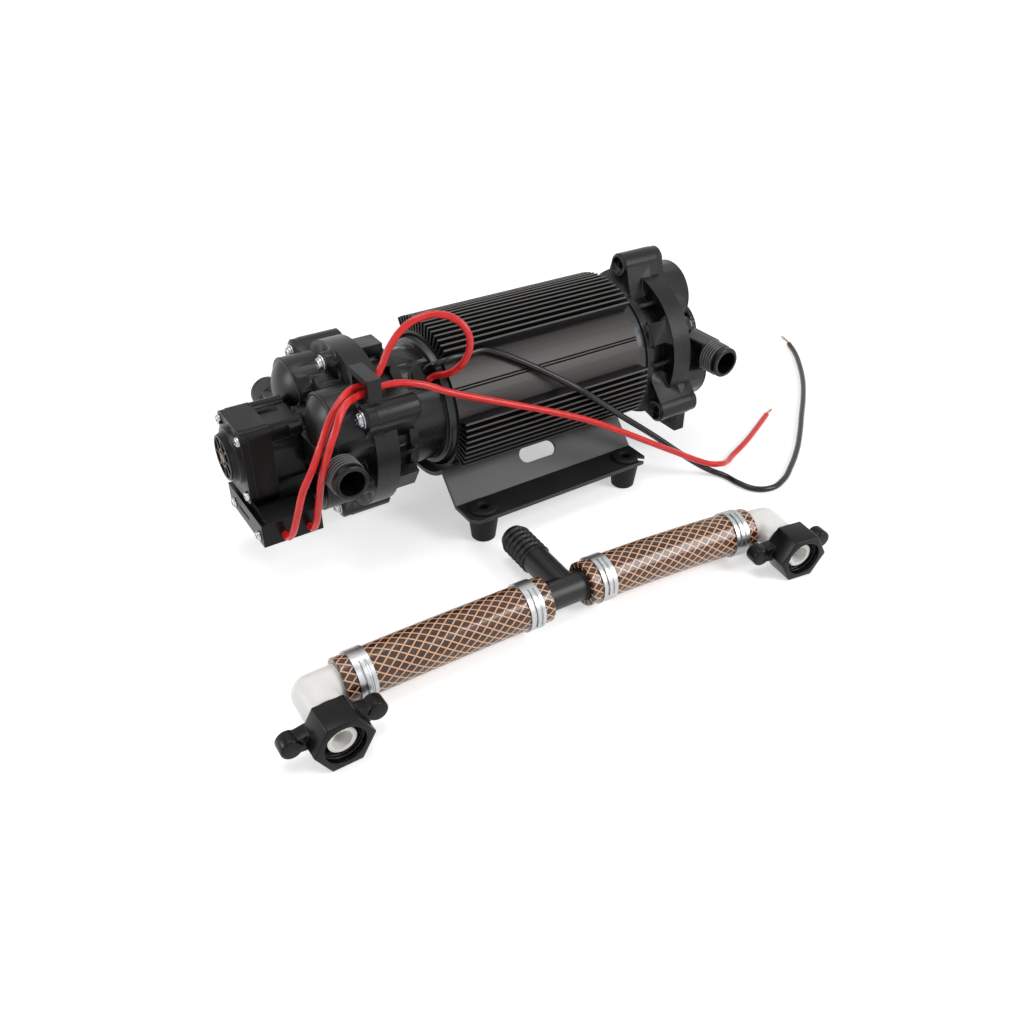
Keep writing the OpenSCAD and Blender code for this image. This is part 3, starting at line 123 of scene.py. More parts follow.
@dataclass(frozen=True)
class Finish:
    """A real surface: its two tones, its gloss, its slow mottle and its fine grain, and, where it
    is given one, a painted highlight along its edges.

    The real grain of these surfaces is 0.02 to 0.2 mm wide. It is drawn at about 0.8 mm, as
    coarse as it has to be to show where the whole object is seen.
    """

    name: str
    slot: str
    base: str
    tone: str
    roughness: float
    metallic: float = 0.0
    specular: float = 0.5
    coat: float = 0.0
    coat_roughness: float = 0.08
    mottle_mm: float = 20.0
    mottle_span: tuple[float, float] = (0.35, 0.68)
    grain_mm: float = 0.9
    grain_depth_mm: float = 0.02
    stretch: Point = (1.0, 1.0, 1.0)
    edge_mm: float = 0.0
    # A painted highlight on the edges: its tone, its strength, and where on the rounded edge it
    # starts and is full
    edge_highlight_tone: str = "#000000"
    edge_highlight_share: float = 0.8
    edge_highlight_span: tuple[float, float] = (0.02, 0.25)
    wander: float = 0.06

    def place(self, tree: bpy.types.NodeTree) -> Socket:
        """Gives the place on the piece, in metres."""
        return add_node(tree, "ShaderNodeTexCoord").outputs["Object"]

    def grain(self, tree: bpy.types.NodeTree) -> Socket:
        """Gives the fine grain, drawn along the finish's own direction.

        Args:
            tree: node tree of the material.

        Returns:
            The grain, from 0 to 1.
        """
        drawn = add_node(tree, "ShaderNodeMapping",
                         {"Vector": self.place(tree), "Scale": self.stretch})
        noise = add_node(tree, "ShaderNodeTexNoise", {
            "Vector": drawn, "Scale": 1 / (self.grain_mm * MM), "Detail": 3.0, "Roughness": 0.6})
        return noise.outputs[0]

    def colour(self, tree: bpy.types.NodeTree) -> Socket:
        """Gives the colour: two tones that drift into each other.

        Args:
            tree: node tree of the material.

        Returns:
            The colour.
        """
        noise = add_node(tree, "ShaderNodeTexNoise", {
            "Vector": self.place(tree), "Scale": 1 / (self.mottle_mm * MM), "Detail": 4.0,
            "Roughness": 0.55})
        low, high = self.mottle_span
        share = add_node(tree, "ShaderNodeMapRange", {0: noise, 1: low, 2: high}, **SOFT)
        both = add_node(tree, "ShaderNodeMix", {
            MIX_SHARE: share, MIX_FIRST: linear(self.base), MIX_SECOND: linear(self.tone)},
            **TONES)
        return both.outputs[MIX_RESULT]

    def dullness(self, tree: bpy.types.NodeTree) -> Socket | float:
        """Gives the roughness: one number, or a value that wanders a little with the grain.

        Args:
            tree: node tree of the material.

        Returns:
            The number, or the socket that gives the value.
        """
        if not self.wander:
            return self.roughness
        low = self.roughness - self.wander / 2
        value = add_node(tree, "ShaderNodeMath", {0: self.grain(tree), 1: self.wander, 2: low},
                         operation="MULTIPLY_ADD")
        return value.outputs[0]

    def height(self, tree: bpy.types.NodeTree) -> Socket:
        """Gives the relief that the bump follows."""
        return self.grain(tree)

    def paint_edge_highlight(self, tree: bpy.types.NodeTree, rounded: bpy.types.Node, colour: Socket) -> Socket:
        """Paints a highlight on the edges, paler where the rounded normal leaves the face's own.

        Args:
            tree: node tree of the material.
            rounded: node that rounds the edges.
            colour: colour of the faces.

        Returns:
            The colour of the faces with the painted highlight on the edges.
        """
        geometry = add_node(tree, "ShaderNodeNewGeometry")
        lean = add_node(tree, "ShaderNodeVectorMath",
                        {0: rounded, 1: geometry.outputs["Normal"]}, operation="DOT_PRODUCT")
        off = add_node(tree, "ShaderNodeMath", {0: 1.0, 1: lean.outputs["Value"]},
                       operation="SUBTRACT")
        low, high = self.edge_highlight_span
        on_edge = add_node(tree, "ShaderNodeMapRange", {0: off, 1: low, 2: high}, **SOFT)
        share = add_node(tree, "ShaderNodeMath", {0: on_edge, 1: self.edge_highlight_share},
                         operation="MULTIPLY")
        both = add_node(tree, "ShaderNodeMix", {
            MIX_SHARE: share, MIX_FIRST: colour, MIX_SECOND: linear(self.edge_highlight_tone)}, **TONES)
        return both.outputs[MIX_RESULT]

    def build(self) -> bpy.types.Material:
        """Builds the material.

        Returns:
            The finished material, made once for each finish.
        """
        found = bpy.data.materials.get(self.name)
        if found:
            return found
        material = bpy.data.materials.new(self.name)
        material.use_nodes = True
        tree = material.node_tree
        tree.nodes.clear()
        colour = self.colour(tree)
        relief = {"Height": self.height(tree), "Distance": self.grain_depth_mm * MM,
                  "Strength": 1.0}
        if self.edge_mm:
            rounded = add_node(tree, "ShaderNodeBevel", {"Radius": self.edge_mm * MM}, samples=4)
            # The edges get a painted highlight
            colour = self.paint_edge_highlight(tree, rounded, colour)
            relief["Normal"] = rounded
        bump = add_node(tree, "ShaderNodeBump", relief)
        shader = add_node(tree, "ShaderNodeBsdfPrincipled", {
            "Base Color": colour, "Roughness": self.dullness(tree), "Metallic": self.metallic,
            "Specular IOR Level": self.specular, "Coat Weight": self.coat,
            "Coat Roughness": self.coat_roughness, "Normal": bump,
        })
        add_node(tree, "ShaderNodeOutputMaterial", {"Surface": shader})
        return material


@dataclass(frozen=True)
class SplitHousing(Finish):
    """Moulded housing with dark parting lines across the motor axis."""

    seams_mm: tuple[float, ...] = ()
    seam_half_mm: float = 0.34
    seam_soft_mm: float = 0.12
    seam_tone: str = "#020202"

    def colour(self, tree: bpy.types.NodeTree) -> Socket:
        """Gives the mottled plastic with the parting lines dark.

        Args:
            tree: node tree of the material.

        Returns:
            The colour.
        """
        split = add_node(tree, "ShaderNodeSeparateXYZ", {0: self.place(tree)})
        colour = super().colour(tree)
        start = (self.seam_half_mm + self.seam_soft_mm) * MM
        for at in self.seams_mm:
            off = add_node(tree, "ShaderNodeMath", {0: split.outputs["X"], 1: at * MM},
                           operation="SUBTRACT")
            off = add_node(tree, "ShaderNodeMath", {0: off}, operation="ABSOLUTE")
            line = add_node(tree, "ShaderNodeMapRange",
                            {0: off, 1: start, 2: self.seam_half_mm * MM}, **SOFT)
            both = add_node(tree, "ShaderNodeMix", {
                MIX_SHARE: line, MIX_FIRST: colour, MIX_SECOND: linear(self.seam_tone)},
                **TONES)
            colour = both.outputs[MIX_RESULT]
        return colour


@dataclass(frozen=True)
class ThreadNylonPaintedLight(Finish):
    """Nylon of the port threads, with a painted highlight on the crests and painted shade in the
    roots.
    """

    middle_mm: float = -3.5
    port_mm: float = 135.5
    root_mm: float = 9.75
    crest_mm: float = 10.5

    def colour(self, tree: bpy.types.NodeTree) -> Socket:
        """Paints shade in the roots and a highlight on the crests, by the distance from the axis of
        the nearer port.

        Args:
            tree: node tree of the material.

        Returns:
            The colour.
        """
        centred = add_node(tree, "ShaderNodeMapping", {
            "Vector": self.place(tree), "Location": (-self.middle_mm * MM, 0.0, -AXIS_H * MM)})
        split = add_node(tree, "ShaderNodeSeparateXYZ", {0: centred})
        folded = add_node(tree, "ShaderNodeMath", {0: split.outputs["X"]}, operation="ABSOLUTE")
        off = add_node(tree, "ShaderNodeMath", {0: folded, 1: self.port_mm * MM},
                       operation="SUBTRACT")
        flat = add_node(tree, "ShaderNodeCombineXYZ", {"X": off, "Z": split.outputs["Z"]})
        radius = add_node(tree, "ShaderNodeVectorMath", {0: flat}, operation="LENGTH")
        # Black painted shade at the root, pale painted highlight at the crest
        share = add_node(tree, "ShaderNodeMapRange", {
            0: radius.outputs["Value"], 1: self.root_mm * MM, 2: self.crest_mm * MM}, **SOFT)
        both = add_node(tree, "ShaderNodeMix", {
            MIX_SHARE: share, MIX_FIRST: linear(self.base), MIX_SECOND: linear(self.tone)},
            **TONES)
        return both.outputs[MIX_RESULT]


@dataclass(frozen=True)
class FinnedExtrusion(Finish):
    """Black anodised extrusion: drawn lines along X, paler smooth panels, a painted highlight on
    the fin tips broken up like wear, and painted shade in the fin roots and the double groove.

    Each zone is a pair of distances from the motor axis, in mm: it is 0 at the first and 1 at
    the second.
    """

    tip_zone: tuple[float, float] = (51.75, 51.98)
    panel_outer_zone: tuple[float, float] = (44.9, 44.6)
    panel_inner_zone: tuple[float, float] = (44.05, 44.2)
    root_zone: tuple[float, float] = (44.3, 44.1)
    # Painted highlight on the fin tips, the panels' own tone, and painted shade in the fin roots
    # and the double groove
    tip_highlight_tone: str = "#55524f"
    panel_tone: str = "#332e2c"
    root_shade_tone: str = "#030303"
    groove_deg: float = 31.0
    groove_off_mm: float = 0.85
    # A line of the double groove is cut 0.7 mm wide; its painted shade is drawn wider so that it
    # shows
    groove_zone: tuple[float, float] = (0.65, 0.4)
    # How the grain breaks the fin tips' painted highlight into patches
    tip_highlight_breakup: tuple[float, float] = (0.1, 0.5)

    def centred(self, tree: bpy.types.NodeTree) -> Socket:
        """Gives the place seen from the motor axis.

        Args:
            tree: node tree of the material.

        Returns:
            The place, in metres.
        """
        raised = add_node(tree, "ShaderNodeMapping", {
            "Vector": self.place(tree), "Location": (0.0, 0.0, -AXIS_H * MM)})
        return raised.outputs[0]

    def groove(self, tree: bpy.types.NodeTree) -> Socket:
        """Marks the two lines of the panel's double groove.

        Args:
            tree: node tree of the material.

        Returns:
            1 along a line and 0 beside it.
        """
        split = add_node(tree, "ShaderNodeSeparateXYZ", {0: self.centred(tree)})
        side = add_node(tree, "ShaderNodeMath", {0: split.outputs["Y"]}, operation="ABSOLUTE")
        lean = math.radians(self.groove_deg)
        up = add_node(tree, "ShaderNodeMath", {0: split.outputs["Z"], 1: math.cos(lean)},
                      operation="MULTIPLY")
        across = add_node(tree, "ShaderNodeMath", {0: side, 1: -math.sin(lean), 2: up},
                          operation="MULTIPLY_ADD")
        across = add_node(tree, "ShaderNodeMath", {0: across}, operation="ABSOLUTE")
        off = add_node(tree, "ShaderNodeMath", {0: across, 1: self.groove_off_mm * MM},
                       operation="SUBTRACT")
        off = add_node(tree, "ShaderNodeMath", {0: off}, operation="ABSOLUTE")
        far, near = self.groove_zone
        line = add_node(tree, "ShaderNodeMapRange", {0: off, 1: far * MM, 2: near * MM}, **SOFT)
        return line.outputs[0]

    def dullness(self, tree: bpy.types.NodeTree) -> Socket:
        """Gives the roughness: the double groove, painted dark as shade, is matt.

        Args:
            tree: node tree of the material.

        Returns:
            The roughness.
        """
        value = add_node(tree, "ShaderNodeMath",
                         {0: super().dullness(tree), 1: self.groove(tree)}, operation="MAXIMUM")
        return value.outputs[0]

    def colour(self, tree: bpy.types.NodeTree) -> Socket:
        """Gives the colour by the distance from the motor axis.

        Args:
            tree: node tree of the material.

        Returns:
            The colour: painted shade in the fin roots and the grooves, the panels' tone, and a
                painted highlight on the fin tips.
        """
        flat = add_node(tree, "ShaderNodeVectorMath",
                        {0: self.centred(tree), 1: (0.0, 1.0, 1.0)}, operation="MULTIPLY")
        radius = add_node(tree, "ShaderNodeVectorMath", {0: flat}, operation="LENGTH")
        # Zones by radius: fin tips for the painted highlight, the panel, and the fin roots for
        # painted shade
        zones = [self.tip_zone, self.panel_outer_zone, self.panel_inner_zone, self.root_zone]
        tip, inside, outside, deep = [
            add_node(tree, "ShaderNodeMapRange",
                     {0: radius.outputs["Value"], 1: start * MM, 2: end * MM}, **SOFT)
            for start, end in zones]
        panel = add_node(tree, "ShaderNodeMath", {0: inside, 1: outside}, operation="MULTIPLY")
        # Painted shade along the two lines of the double groove, on the panel only
        groove_shade = add_node(tree, "ShaderNodeMath", {0: self.groove(tree), 1: panel},
                        operation="MULTIPLY")
        # The fin tips' painted highlight, broken into patches by the grain
        low, high = self.tip_highlight_breakup
        patchy = add_node(tree, "ShaderNodeMapRange", {0: self.grain(tree), 1: low, 2: high},
                          **SOFT)
        broken = add_node(tree, "ShaderNodeMath", {0: tip, 1: patchy}, operation="MULTIPLY")
        colour = super().colour(tree)
        layers = ((deep, self.root_shade_tone), (panel, self.panel_tone), (groove_shade, self.root_shade_tone),
                  (broken, self.tip_highlight_tone))
        for share, tone in layers:
            both = add_node(tree, "ShaderNodeMix", {
                MIX_SHARE: share, MIX_FIRST: colour, MIX_SECOND: linear(tone)}, **TONES)
            colour = both.outputs[MIX_RESULT]
        return colour


@dataclass(frozen=True)
class BraidedHose(Finish):
    """Clear PVC hose over a brown core with two sets of crossing copper-coloured threads."""

    thread_tone: str = "#e4b18a"
    # Half a thread's width as a share of a diamond, where it ends and where it is full
    thread_span: tuple[float, float] = (0.105, 0.0672)

    def weave(self, tree: bpy.types.NodeTree) -> Socket:
        """Marks the threads: the braid's map counts threads round and diamonds along.

        Args:
            tree: node tree of the material.

        Returns:
            1 on a thread and 0 between.
        """
        braid = add_node(tree, "ShaderNodeUVMap", uv_map="braid")
        split = add_node(tree, "ShaderNodeSeparateXYZ", {0: braid})
        end, full = self.thread_span
        sets = []
        for operation in ("ADD", "SUBTRACT"):
            along = add_node(tree, "ShaderNodeMath",
                             {0: split.outputs["X"], 1: split.outputs["Y"]}, operation=operation)
            tent = add_node(tree, "ShaderNodeMath", {0: along, 1: 0.5}, operation="PINGPONG")
            sets.append(add_node(tree, "ShaderNodeMapRange", {0: tent, 1: end, 2: full}, **SOFT))
        both = add_node(tree, "ShaderNodeMath", {0: sets[0], 1: sets[1]}, operation="MAXIMUM")
        return both.outputs[0]

    def colour(self, tree: bpy.types.NodeTree) -> Socket:
        """Gives the brown core with the braid over it.

        Args:
            tree: node tree of the material.

        Returns:
            The colour.
        """
        both = add_node(tree, "ShaderNodeMix", {
            MIX_SHARE: self.weave(tree), MIX_FIRST: super().colour(tree),
            MIX_SECOND: linear(self.thread_tone)}, **TONES)
        return both.outputs[MIX_RESULT]

    def height(self, tree: bpy.types.NodeTree) -> Socket:
        """Lets the threads stand a little proud under the clear layer."""
        return self.weave(tree)


# Places of the parting lines along the motor axis, in mm
BARREL_SEAM = -87.8
LEFT_SPLIT = -112.0
RIGHT_SPLIT = 105.0

# Glass-filled nylon, moulded on a fine spark texture: satin black with a soft grey sheen, and a
# painted highlight along its edges
HOUSING = SplitHousing(
    "glass_filled_nylon", "housing_black", "#0b0b0c", "#111112", 0.33, specular=0.3,
    grain_mm=0.8, grain_depth_mm=0.006, edge_mm=0.3, edge_highlight_tone="#3a3b3d",
    seams_mm=(LEFT_SPLIT, RIGHT_SPLIT))
# The nylon of the port threads: near-black painted shade in the roots, a pale painted highlight on
# the crests
THREAD_PAINTED_LIGHT = ThreadNylonPaintedLight(
    "threaded_nylon_painted_light", "housing_black", "#030303", "#6e6d6c", 0.34, specular=0.25,
    grain_mm=0.8, grain_depth_mm=0.0)
# The same nylon polished in the mould, as on the brush barrel: smoother, longer highlights, and a
# painted highlight along its edges
BARREL = SplitHousing(
    "polished_nylon", "housing_black", "#0b0b0c", "#101011", 0.28, specular=0.36,
    grain_mm=1.2, grain_depth_mm=0.001, edge_mm=0.3, edge_highlight_tone="#3a3b3d",
    seams_mm=(BARREL_SEAM,))
# Black anodised aluminium, extruded: dull, with drawn lines, a painted highlight on the fin tips
# and painted shade in the fin roots and the groove
SLEEVE = FinnedExtrusion(
    "anodised_extrusion", "sleeve_black", "#0b0b0c", "#111112", 0.4, metallic=0.0,
    specular=0.36, mottle_mm=30, grain_mm=0.7, grain_depth_mm=0.01, stretch=(0.04, 1.0, 1.0))
# Steel sheet with satin black powder coat: an even fine orange peel, and a painted highlight along
# its edges
SHEET = Finish(
    "powder_coated_sheet", "bracket_black", "#1d1c1c", "#232222", 0.44, specular=0.5,
    grain_mm=1.1, grain_depth_mm=0.005, edge_mm=0.4, edge_highlight_tone="#5a5856")
# Semi-gloss enamel on the drawn motor can
CAN = Finish(
    "can_enamel", "can_steel", "#2a2b2d", "#3a3b3d", 0.28, metallic=0.4, specular=0.5,
    mottle_mm=12, grain_mm=0.8, stretch=(1.0, 0.1, 0.1), grain_depth_mm=0.01)
# Natural rubber with carbon black: matt, no clear highlight
RUBBER = Finish(
    "carbon_black_rubber", "rubber_black", "#0e0e0e", "#151514", 0.62, specular=0.25,
    mottle_mm=9, grain_mm=0.7, grain_depth_mm=0.05)
# Zinc plated steel of the screws, bright with faint turning marks, and a near-white painted
# highlight on its edges
ZINC = Finish(
    "zinc_plated_steel", "steel_bright", "#c2c5c8", "#9fa3a8", 0.24, metallic=1.0,
    mottle_mm=4, grain_mm=0.5, grain_depth_mm=0.008, edge_mm=0.15, edge_highlight_tone="#f0f0f0")
# Stainless strip of the clamps, rolled and lightly brushed round the hose
STRIP = Finish(
    "stainless_strip", "clamp_steel", "#bfc1c2", "#b2b4b6", 0.34, metallic=1.0,
    mottle_mm=7, grain_mm=0.5, grain_depth_mm=0.0, wander=0.0)
# Painted shade in the gaps beside the clamp's tongue: flat black
GAP_SHADE = Finish(
    "clamp_gap", "clamp_steel", "#040404", "#080808", 0.9, specular=0.05, grain_mm=0.5)
# Yellow passivated brass screw: a warm dull shine
BRASS = Finish(
    "passivated_brass", "brass_screw", "#8f6b43", "#6f5030", 0.32, metallic=1.0,
    mottle_mm=3, grain_mm=0.4, grain_depth_mm=0.01)
# Smooth moulded acetal block of the switch, a little glossier than the heads, with a painted
# highlight on its edges
SWITCH = Finish(
    "smooth_acetal", "housing_black", "#090909", "#0d0d0d", 0.3, specular=0.2,
    grain_mm=1.0, grain_depth_mm=0.001, edge_mm=0.45, edge_highlight_tone="#3c3c3e")
# The lid's own moulding, with a paler painted highlight on its edges
SWITCH_LID = Finish(
    "smooth_acetal_lid", "switch_grey", "#090909", "#0d0d0d", 0.32, specular=0.2,
    grain_mm=1.0, grain_depth_mm=0.001, edge_mm=0.5, edge_highlight_tone="#4a4a4c")
# Soft PVC over copper: bright red with a wet gloss
RED_PVC = Finish(
    "red_wire_pvc", "red_pvc", "#cf1d1e", "#dc2826", 0.3, specular=0.35, coat=0.15,
    mottle_mm=6, grain_mm=0.6, grain_depth_mm=0.01)
# The same PVC in black, with one thin line of gloss along it
BLACK_PVC = Finish(
    "black_wire_pvc", "black_pvc", "#0c0c0d", "#121213", 0.25, specular=0.35, coat=0.1,
    mottle_mm=6, grain_mm=0.6, grain_depth_mm=0.01)
# Tinned copper strands, where the copper shows through
STRANDS = Finish(
    "tinned_strands", "strand", "#b98a62", "#cfc3b4", 0.3, metallic=1.0,
    mottle_mm=0.8, grain_mm=0.3, grain_depth_mm=0.01)
# Brown PVC hose with a clear outer layer over its polyester braid: a wet gloss band
HOSE = BraidedHose(
    "braided_pvc", "hose_braid", "#2a140d", "#43241a", 0.3, specular=0.3, coat=0.6,
    coat_roughness=0.1, mottle_mm=14, grain_mm=1.0, grain_depth_mm=0.12)
# Black polypropylene of the tee, moulded: a wide soft sheen, and a painted highlight along its
# edges
TEE = Finish(
    "moulded_polypropylene", "tee_black", "#0e0e0f", "#151516", 0.36, specular=0.4,
    grain_mm=0.9, grain_depth_mm=0.006, edge_mm=0.4, edge_highlight_tone="#323335")
# Black acetal of the wing nuts: smooth flats with a bright painted highlight on the edges
NUT = Finish(
    "moulded_acetal", "nut_black", "#090909", "#0d0d0d", 0.28, specular=0.2,
    grain_mm=0.9, grain_depth_mm=0.001, edge_mm=0.45, edge_highlight_tone="#58585a")
# White acetal of the elbows: faintly warm, soft gloss
WHITE = Finish(
    "white_acetal", "white_plastic", "#eeede9", "#f4f3f0", 0.3, specular=0.4,
    mottle_mm=10, grain_mm=0.8, grain_depth_mm=0.01)
# Sintered ferrite: dark grey and matt
FERRITE = Finish("sintered_ferrite", "ferrite", "#3a3a3e", "#4a4a4d", 0.7, grain_mm=0.5,
                 grain_depth_mm=0.04)
# Paper laminate: brown, with faint fibres
CARD = Finish("paper_laminate", "card_brown", "#6b4a2b", "#7d5a38", 0.55, mottle_mm=6,
              grain_mm=0.6, stretch=(1.0, 0.2, 1.0))
# Pressed carbon: black with a dull glint
CARBON = Finish("pressed_carbon", "carbon", "#1f1f21", "#2c2c2e", 0.6, grain_mm=0.4,
                grain_depth_mm=0.03)
# Stacked silicon steel: grey metal with fine lines across
CORE = Finish("stacked_silicon_steel", "core_steel", "#70757a", "#5b6065", 0.35, metallic=1.0,
              grain_mm=0.8, stretch=(1.0, 0.05, 0.05), grain_depth_mm=0.05)
# Enamelled copper wire: reddish and glossy
COPPER = Finish("enamelled_copper", "copper", "#a5562a", "#c06d38", 0.3, metallic=0.9,
                grain_mm=1.0, stretch=(0.1, 1.0, 1.0), grain_depth_mm=0.08)
# Die-cast alloy: grey metal with a dull skin
CAST = Finish("die_cast_alloy", "cast_dark", "#6a6d70", "#7d8083", 0.45, metallic=0.9,
              grain_mm=1.0, grain_depth_mm=0.04)
# Ground steel: bright, with fine lines
GROUND = Finish("ground_steel", "steel_bright", "#b9bcc0", "#a3a7ab", 0.2, metallic=1.0,
                grain_mm=0.6, stretch=(1.0, 0.05, 0.05), grain_depth_mm=0.006)
# Moulded valve rubber: near black, without a clear highlight
MOULDED_RUBBER = Finish("moulded_valve_rubber", "valve_rubber", "#1f2022", "#2a2b2e", 0.5,
                        mottle_mm=6, grain_mm=0.8, grain_depth_mm=0.03)


def dress(names: Sequence[str], finish: Finish) -> None:
    """Gives CAD nodes a finish in all their material slots.

    Args:
        names: names of the nodes.
        finish: finish that they take.
    """
    for name in names:
        node = frame["nodes"][name]
        node.data.materials.clear()
        node.data.materials.append(finish.build())
        LOG.info("dressed %s as %s", name, finish.name)


# Modelling


def clear_selection() -> None:
    """Deselects everything, in object mode."""
    if bpy.context.object and bpy.context.object.mode != "OBJECT":
        bpy.ops.object.mode_set(mode="OBJECT")
    bpy.ops.object.select_all(action="DESELECT")


class Axis(Enum):
    """The three directions of a piece while it is modelled."""

    X = 0
    Y = 1
    Z = 2


class Pick(Enum):
    """What is picked in edit mode."""

    CORNERS = "VERT"
    EDGES = "EDGE"
    FACES = "FACE"


class Side(Enum):
    """The two ends of the pump and of the manifold."""

    LEFT = "left"
    RIGHT = "right"


@dataclass
class Workpiece:
    """One piece on the bench, modelled about the origin in millimetres of its own."""

    name: str
    obj: bpy.types.Object = field(init=False)

    def take(self) -> "Workpiece":
        """Takes the object that an operator has just added.

        Returns:
            The piece itself.
        """
        self.obj = bpy.context.object
        self.obj.name = self.name
        self.obj.data.name = self.name
        return self

    def choose(self) -> None:
        """Makes the piece the one that operators act on."""
        clear_selection()
        self.obj.select_set(True)
        bpy.context.view_layer.objects.active = self.obj

    def cylinder(self, radius: float, depth: float, at: Point = (0, 0, 0), sides: int = 64,
                 turn: Point = (0, 0, 0), top_radius: float | None = None) -> "Workpiece":
        """Starts from a cylinder or cone.

        Args:
            radius: radius at its foot, in mm.
            depth: length, in mm.
            at: its middle, in mm.
            sides: number of sides.
            turn: turn about x, y and z, in degrees.
            top_radius: radius at its top where that differs.

        Returns:
            The piece itself.
        """
        clear_selection()
        bpy.ops.mesh.primitive_cone_add(
            vertices=sides, radius1=radius * MM, depth=depth * MM,
            radius2=(radius if top_radius is None else top_radius) * MM,
            location=Vector(at) * MM, rotation=[math.radians(t) for t in turn])
        return self.take()

    def block(self, size: Point, at: Point = (0, 0, 0), turn: Point = (0, 0, 0)) -> "Workpiece":
        """Starts from a box.

        Args:
            size: its size, in mm.
            at: its middle, in mm.
            turn: turn about x, y and z, in degrees.

        Returns:
            The piece itself.
        """
        clear_selection()
        bpy.ops.mesh.primitive_cube_add(size=1, location=Vector(at) * MM, scale=Vector(size) * MM,
                                        rotation=[math.radians(t) for t in turn])
        return self.take()

    def ring(self, radius: float, wire: float, height: float = 0, around: int = 48,
             section: int = 8) -> "Workpiece":
        """Starts from a ring round z.

        Args:
            radius: radius of its middle line, in mm.
            wire: radius of its section, in mm.
            height: its height, in mm.
            around: number of sides round the ring.
            section: number of sides of its section.

        Returns:
            The piece itself.
        """
        clear_selection()
        bpy.ops.mesh.primitive_torus_add(
            major_radius=radius * MM, minor_radius=wire * MM, major_segments=around,
            minor_segments=section, location=(0, 0, height * MM))
        return self.take()

    def settle(self) -> "Workpiece":
        """Puts the object's place, turn and scale into its mesh.

        Returns:
            The piece itself.
        """
        self.choose()
        bpy.ops.object.transform_apply(location=True, rotation=True, scale=True)
        return self

    def edit(self, kind: Pick = Pick.FACES, everything: bool = False) -> None:
        """Opens the piece in edit mode.

        Args:
            kind: what is picked there.
            everything: whether all of it is selected, and not nothing.
        """
        self.choose()
        bpy.ops.object.mode_set(mode="EDIT")
        bpy.ops.mesh.select_mode(type=kind.value)
        bpy.ops.mesh.select_all(action="SELECT" if everything else "DESELECT")

    def pick_faces(self, chosen: Callable[[Vector, Vector], bool]) -> None:
        """Opens edit mode with some faces selected.

        Args:
            chosen: says of a face's middle, in mm, and its normal whether it is selected.
        """
        self.edit()
        bpy.ops.object.mode_set(mode="OBJECT")
        for face in self.obj.data.polygons:
            face.select = bool(chosen(face.center / MM, face.normal))
        bpy.ops.object.mode_set(mode="EDIT")

    def cut_across(self, axis: Axis, stations: Sequence[float]) -> "Workpiece":
        """Cuts the mesh on planes square to an axis.

        Args:
            axis: the axis.
            stations: places of the planes along it, in mm.

        Returns:
            The piece itself.
        """
        normal = [0.0, 0.0, 0.0]
        normal[axis.value] = 1.0
        for at in stations:
            self.edit(everything=True)
            bpy.ops.mesh.bisect(plane_co=Vector(normal) * at * MM, plane_no=normal)
        clear_selection()
        return self

    def face_outwards(self) -> None:
        """Turns all faces outwards."""
        self.edit(everything=True)
        bpy.ops.mesh.normals_make_consistent(inside=False)
        clear_selection()

    def modify(self, kind: str, **settings: object) -> "Workpiece":
        """Adds a modifier and applies it.

        Args:
            kind: Blender's name of the modifier type.
            settings: its settings.

        Returns:
            The piece itself.
        """
        self.choose()
        modifier = self.obj.modifiers.new(kind.lower(), kind)
        for name, value in settings.items():
            setattr(modifier, name, value)
        bpy.ops.object.modifier_apply(modifier=modifier.name)
        return self

    def round_edges(self, width: float, segments: int = 2, angle: float = 40) -> "Workpiece":
        """Rounds the edges sharper than an angle in degrees by a width in mm."""
        return self.modify("BEVEL", width=width * MM, segments=segments,
                           limit_method="ANGLE", angle_limit=math.radians(angle))

    def cut_away(self, other: "Workpiece") -> "Workpiece":
        """Cuts another piece's shape out of this one.

        Args:
            other: the other piece, which is used up.

        Returns:
            The piece itself.
        """
        other.settle()
        self.settle()
        self.modify("BOOLEAN", object=other.obj, operation="DIFFERENCE", solver="EXACT")
        bpy.data.objects.remove(other.obj)
        return self

    def weld(self, *others: "Workpiece") -> "Workpiece":
        """Joins other pieces to this one as one object.

        Args:
            others: the other pieces.

        Returns:
            The piece itself.
        """
        self.choose()
        for other in others:
            other.obj.select_set(True)
        bpy.ops.object.join()
        return self

    def twin(self, name: str) -> "Workpiece":
        """Copies the piece with its own mesh.

        Args:
            name: name of the copy.

        Returns:
            The copy.
        """
        self.choose()
        bpy.ops.object.duplicate()
        return Workpiece(name).take()

    def smooth(self, angle: float = 35) -> "Workpiece":
        """Smooths the shading where faces meet.

        Args:
            angle: largest angle between two faces that shade as one, in degrees.

        Returns:
            The piece itself.
        """
        self.settle()
        bpy.ops.object.shade_smooth_by_angle(angle=math.radians(angle))
        return self

    def paint(self, *finishes: Finish) -> "Workpiece":
        """Gives the piece its material, or several.

        Args:
            finishes: finishes in the order of its material slots.

        Returns:
            The piece itself.
        """
        self.obj.data.materials.clear()
        for finish in finishes:
            self.obj.data.materials.append(finish.build())
        return self

    def put(self, place: Matrix) -> "Workpiece":
        """Moves the piece from the bench to its place, and keeps the place in its mesh.

        Args:
            place: the place in the frame.

        Returns:
            The piece itself.
        """
        self.settle()
        self.obj.matrix_world = place
        return self.settle()

    def hand_in(self, body: str, *nodes: str) -> "Workpiece":
        """Fixes the piece to its body.

        Args:
            body: name of the body that it moves with.
            nodes: CAD nodes that it stands for.

        Returns:
            The piece itself.
        """
        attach(self.obj, body)
        if nodes:
            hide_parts(*nodes)
        LOG.info("piece %s on %s, %d faces", self.obj.name, body, len(self.obj.data.polygons))
        return self


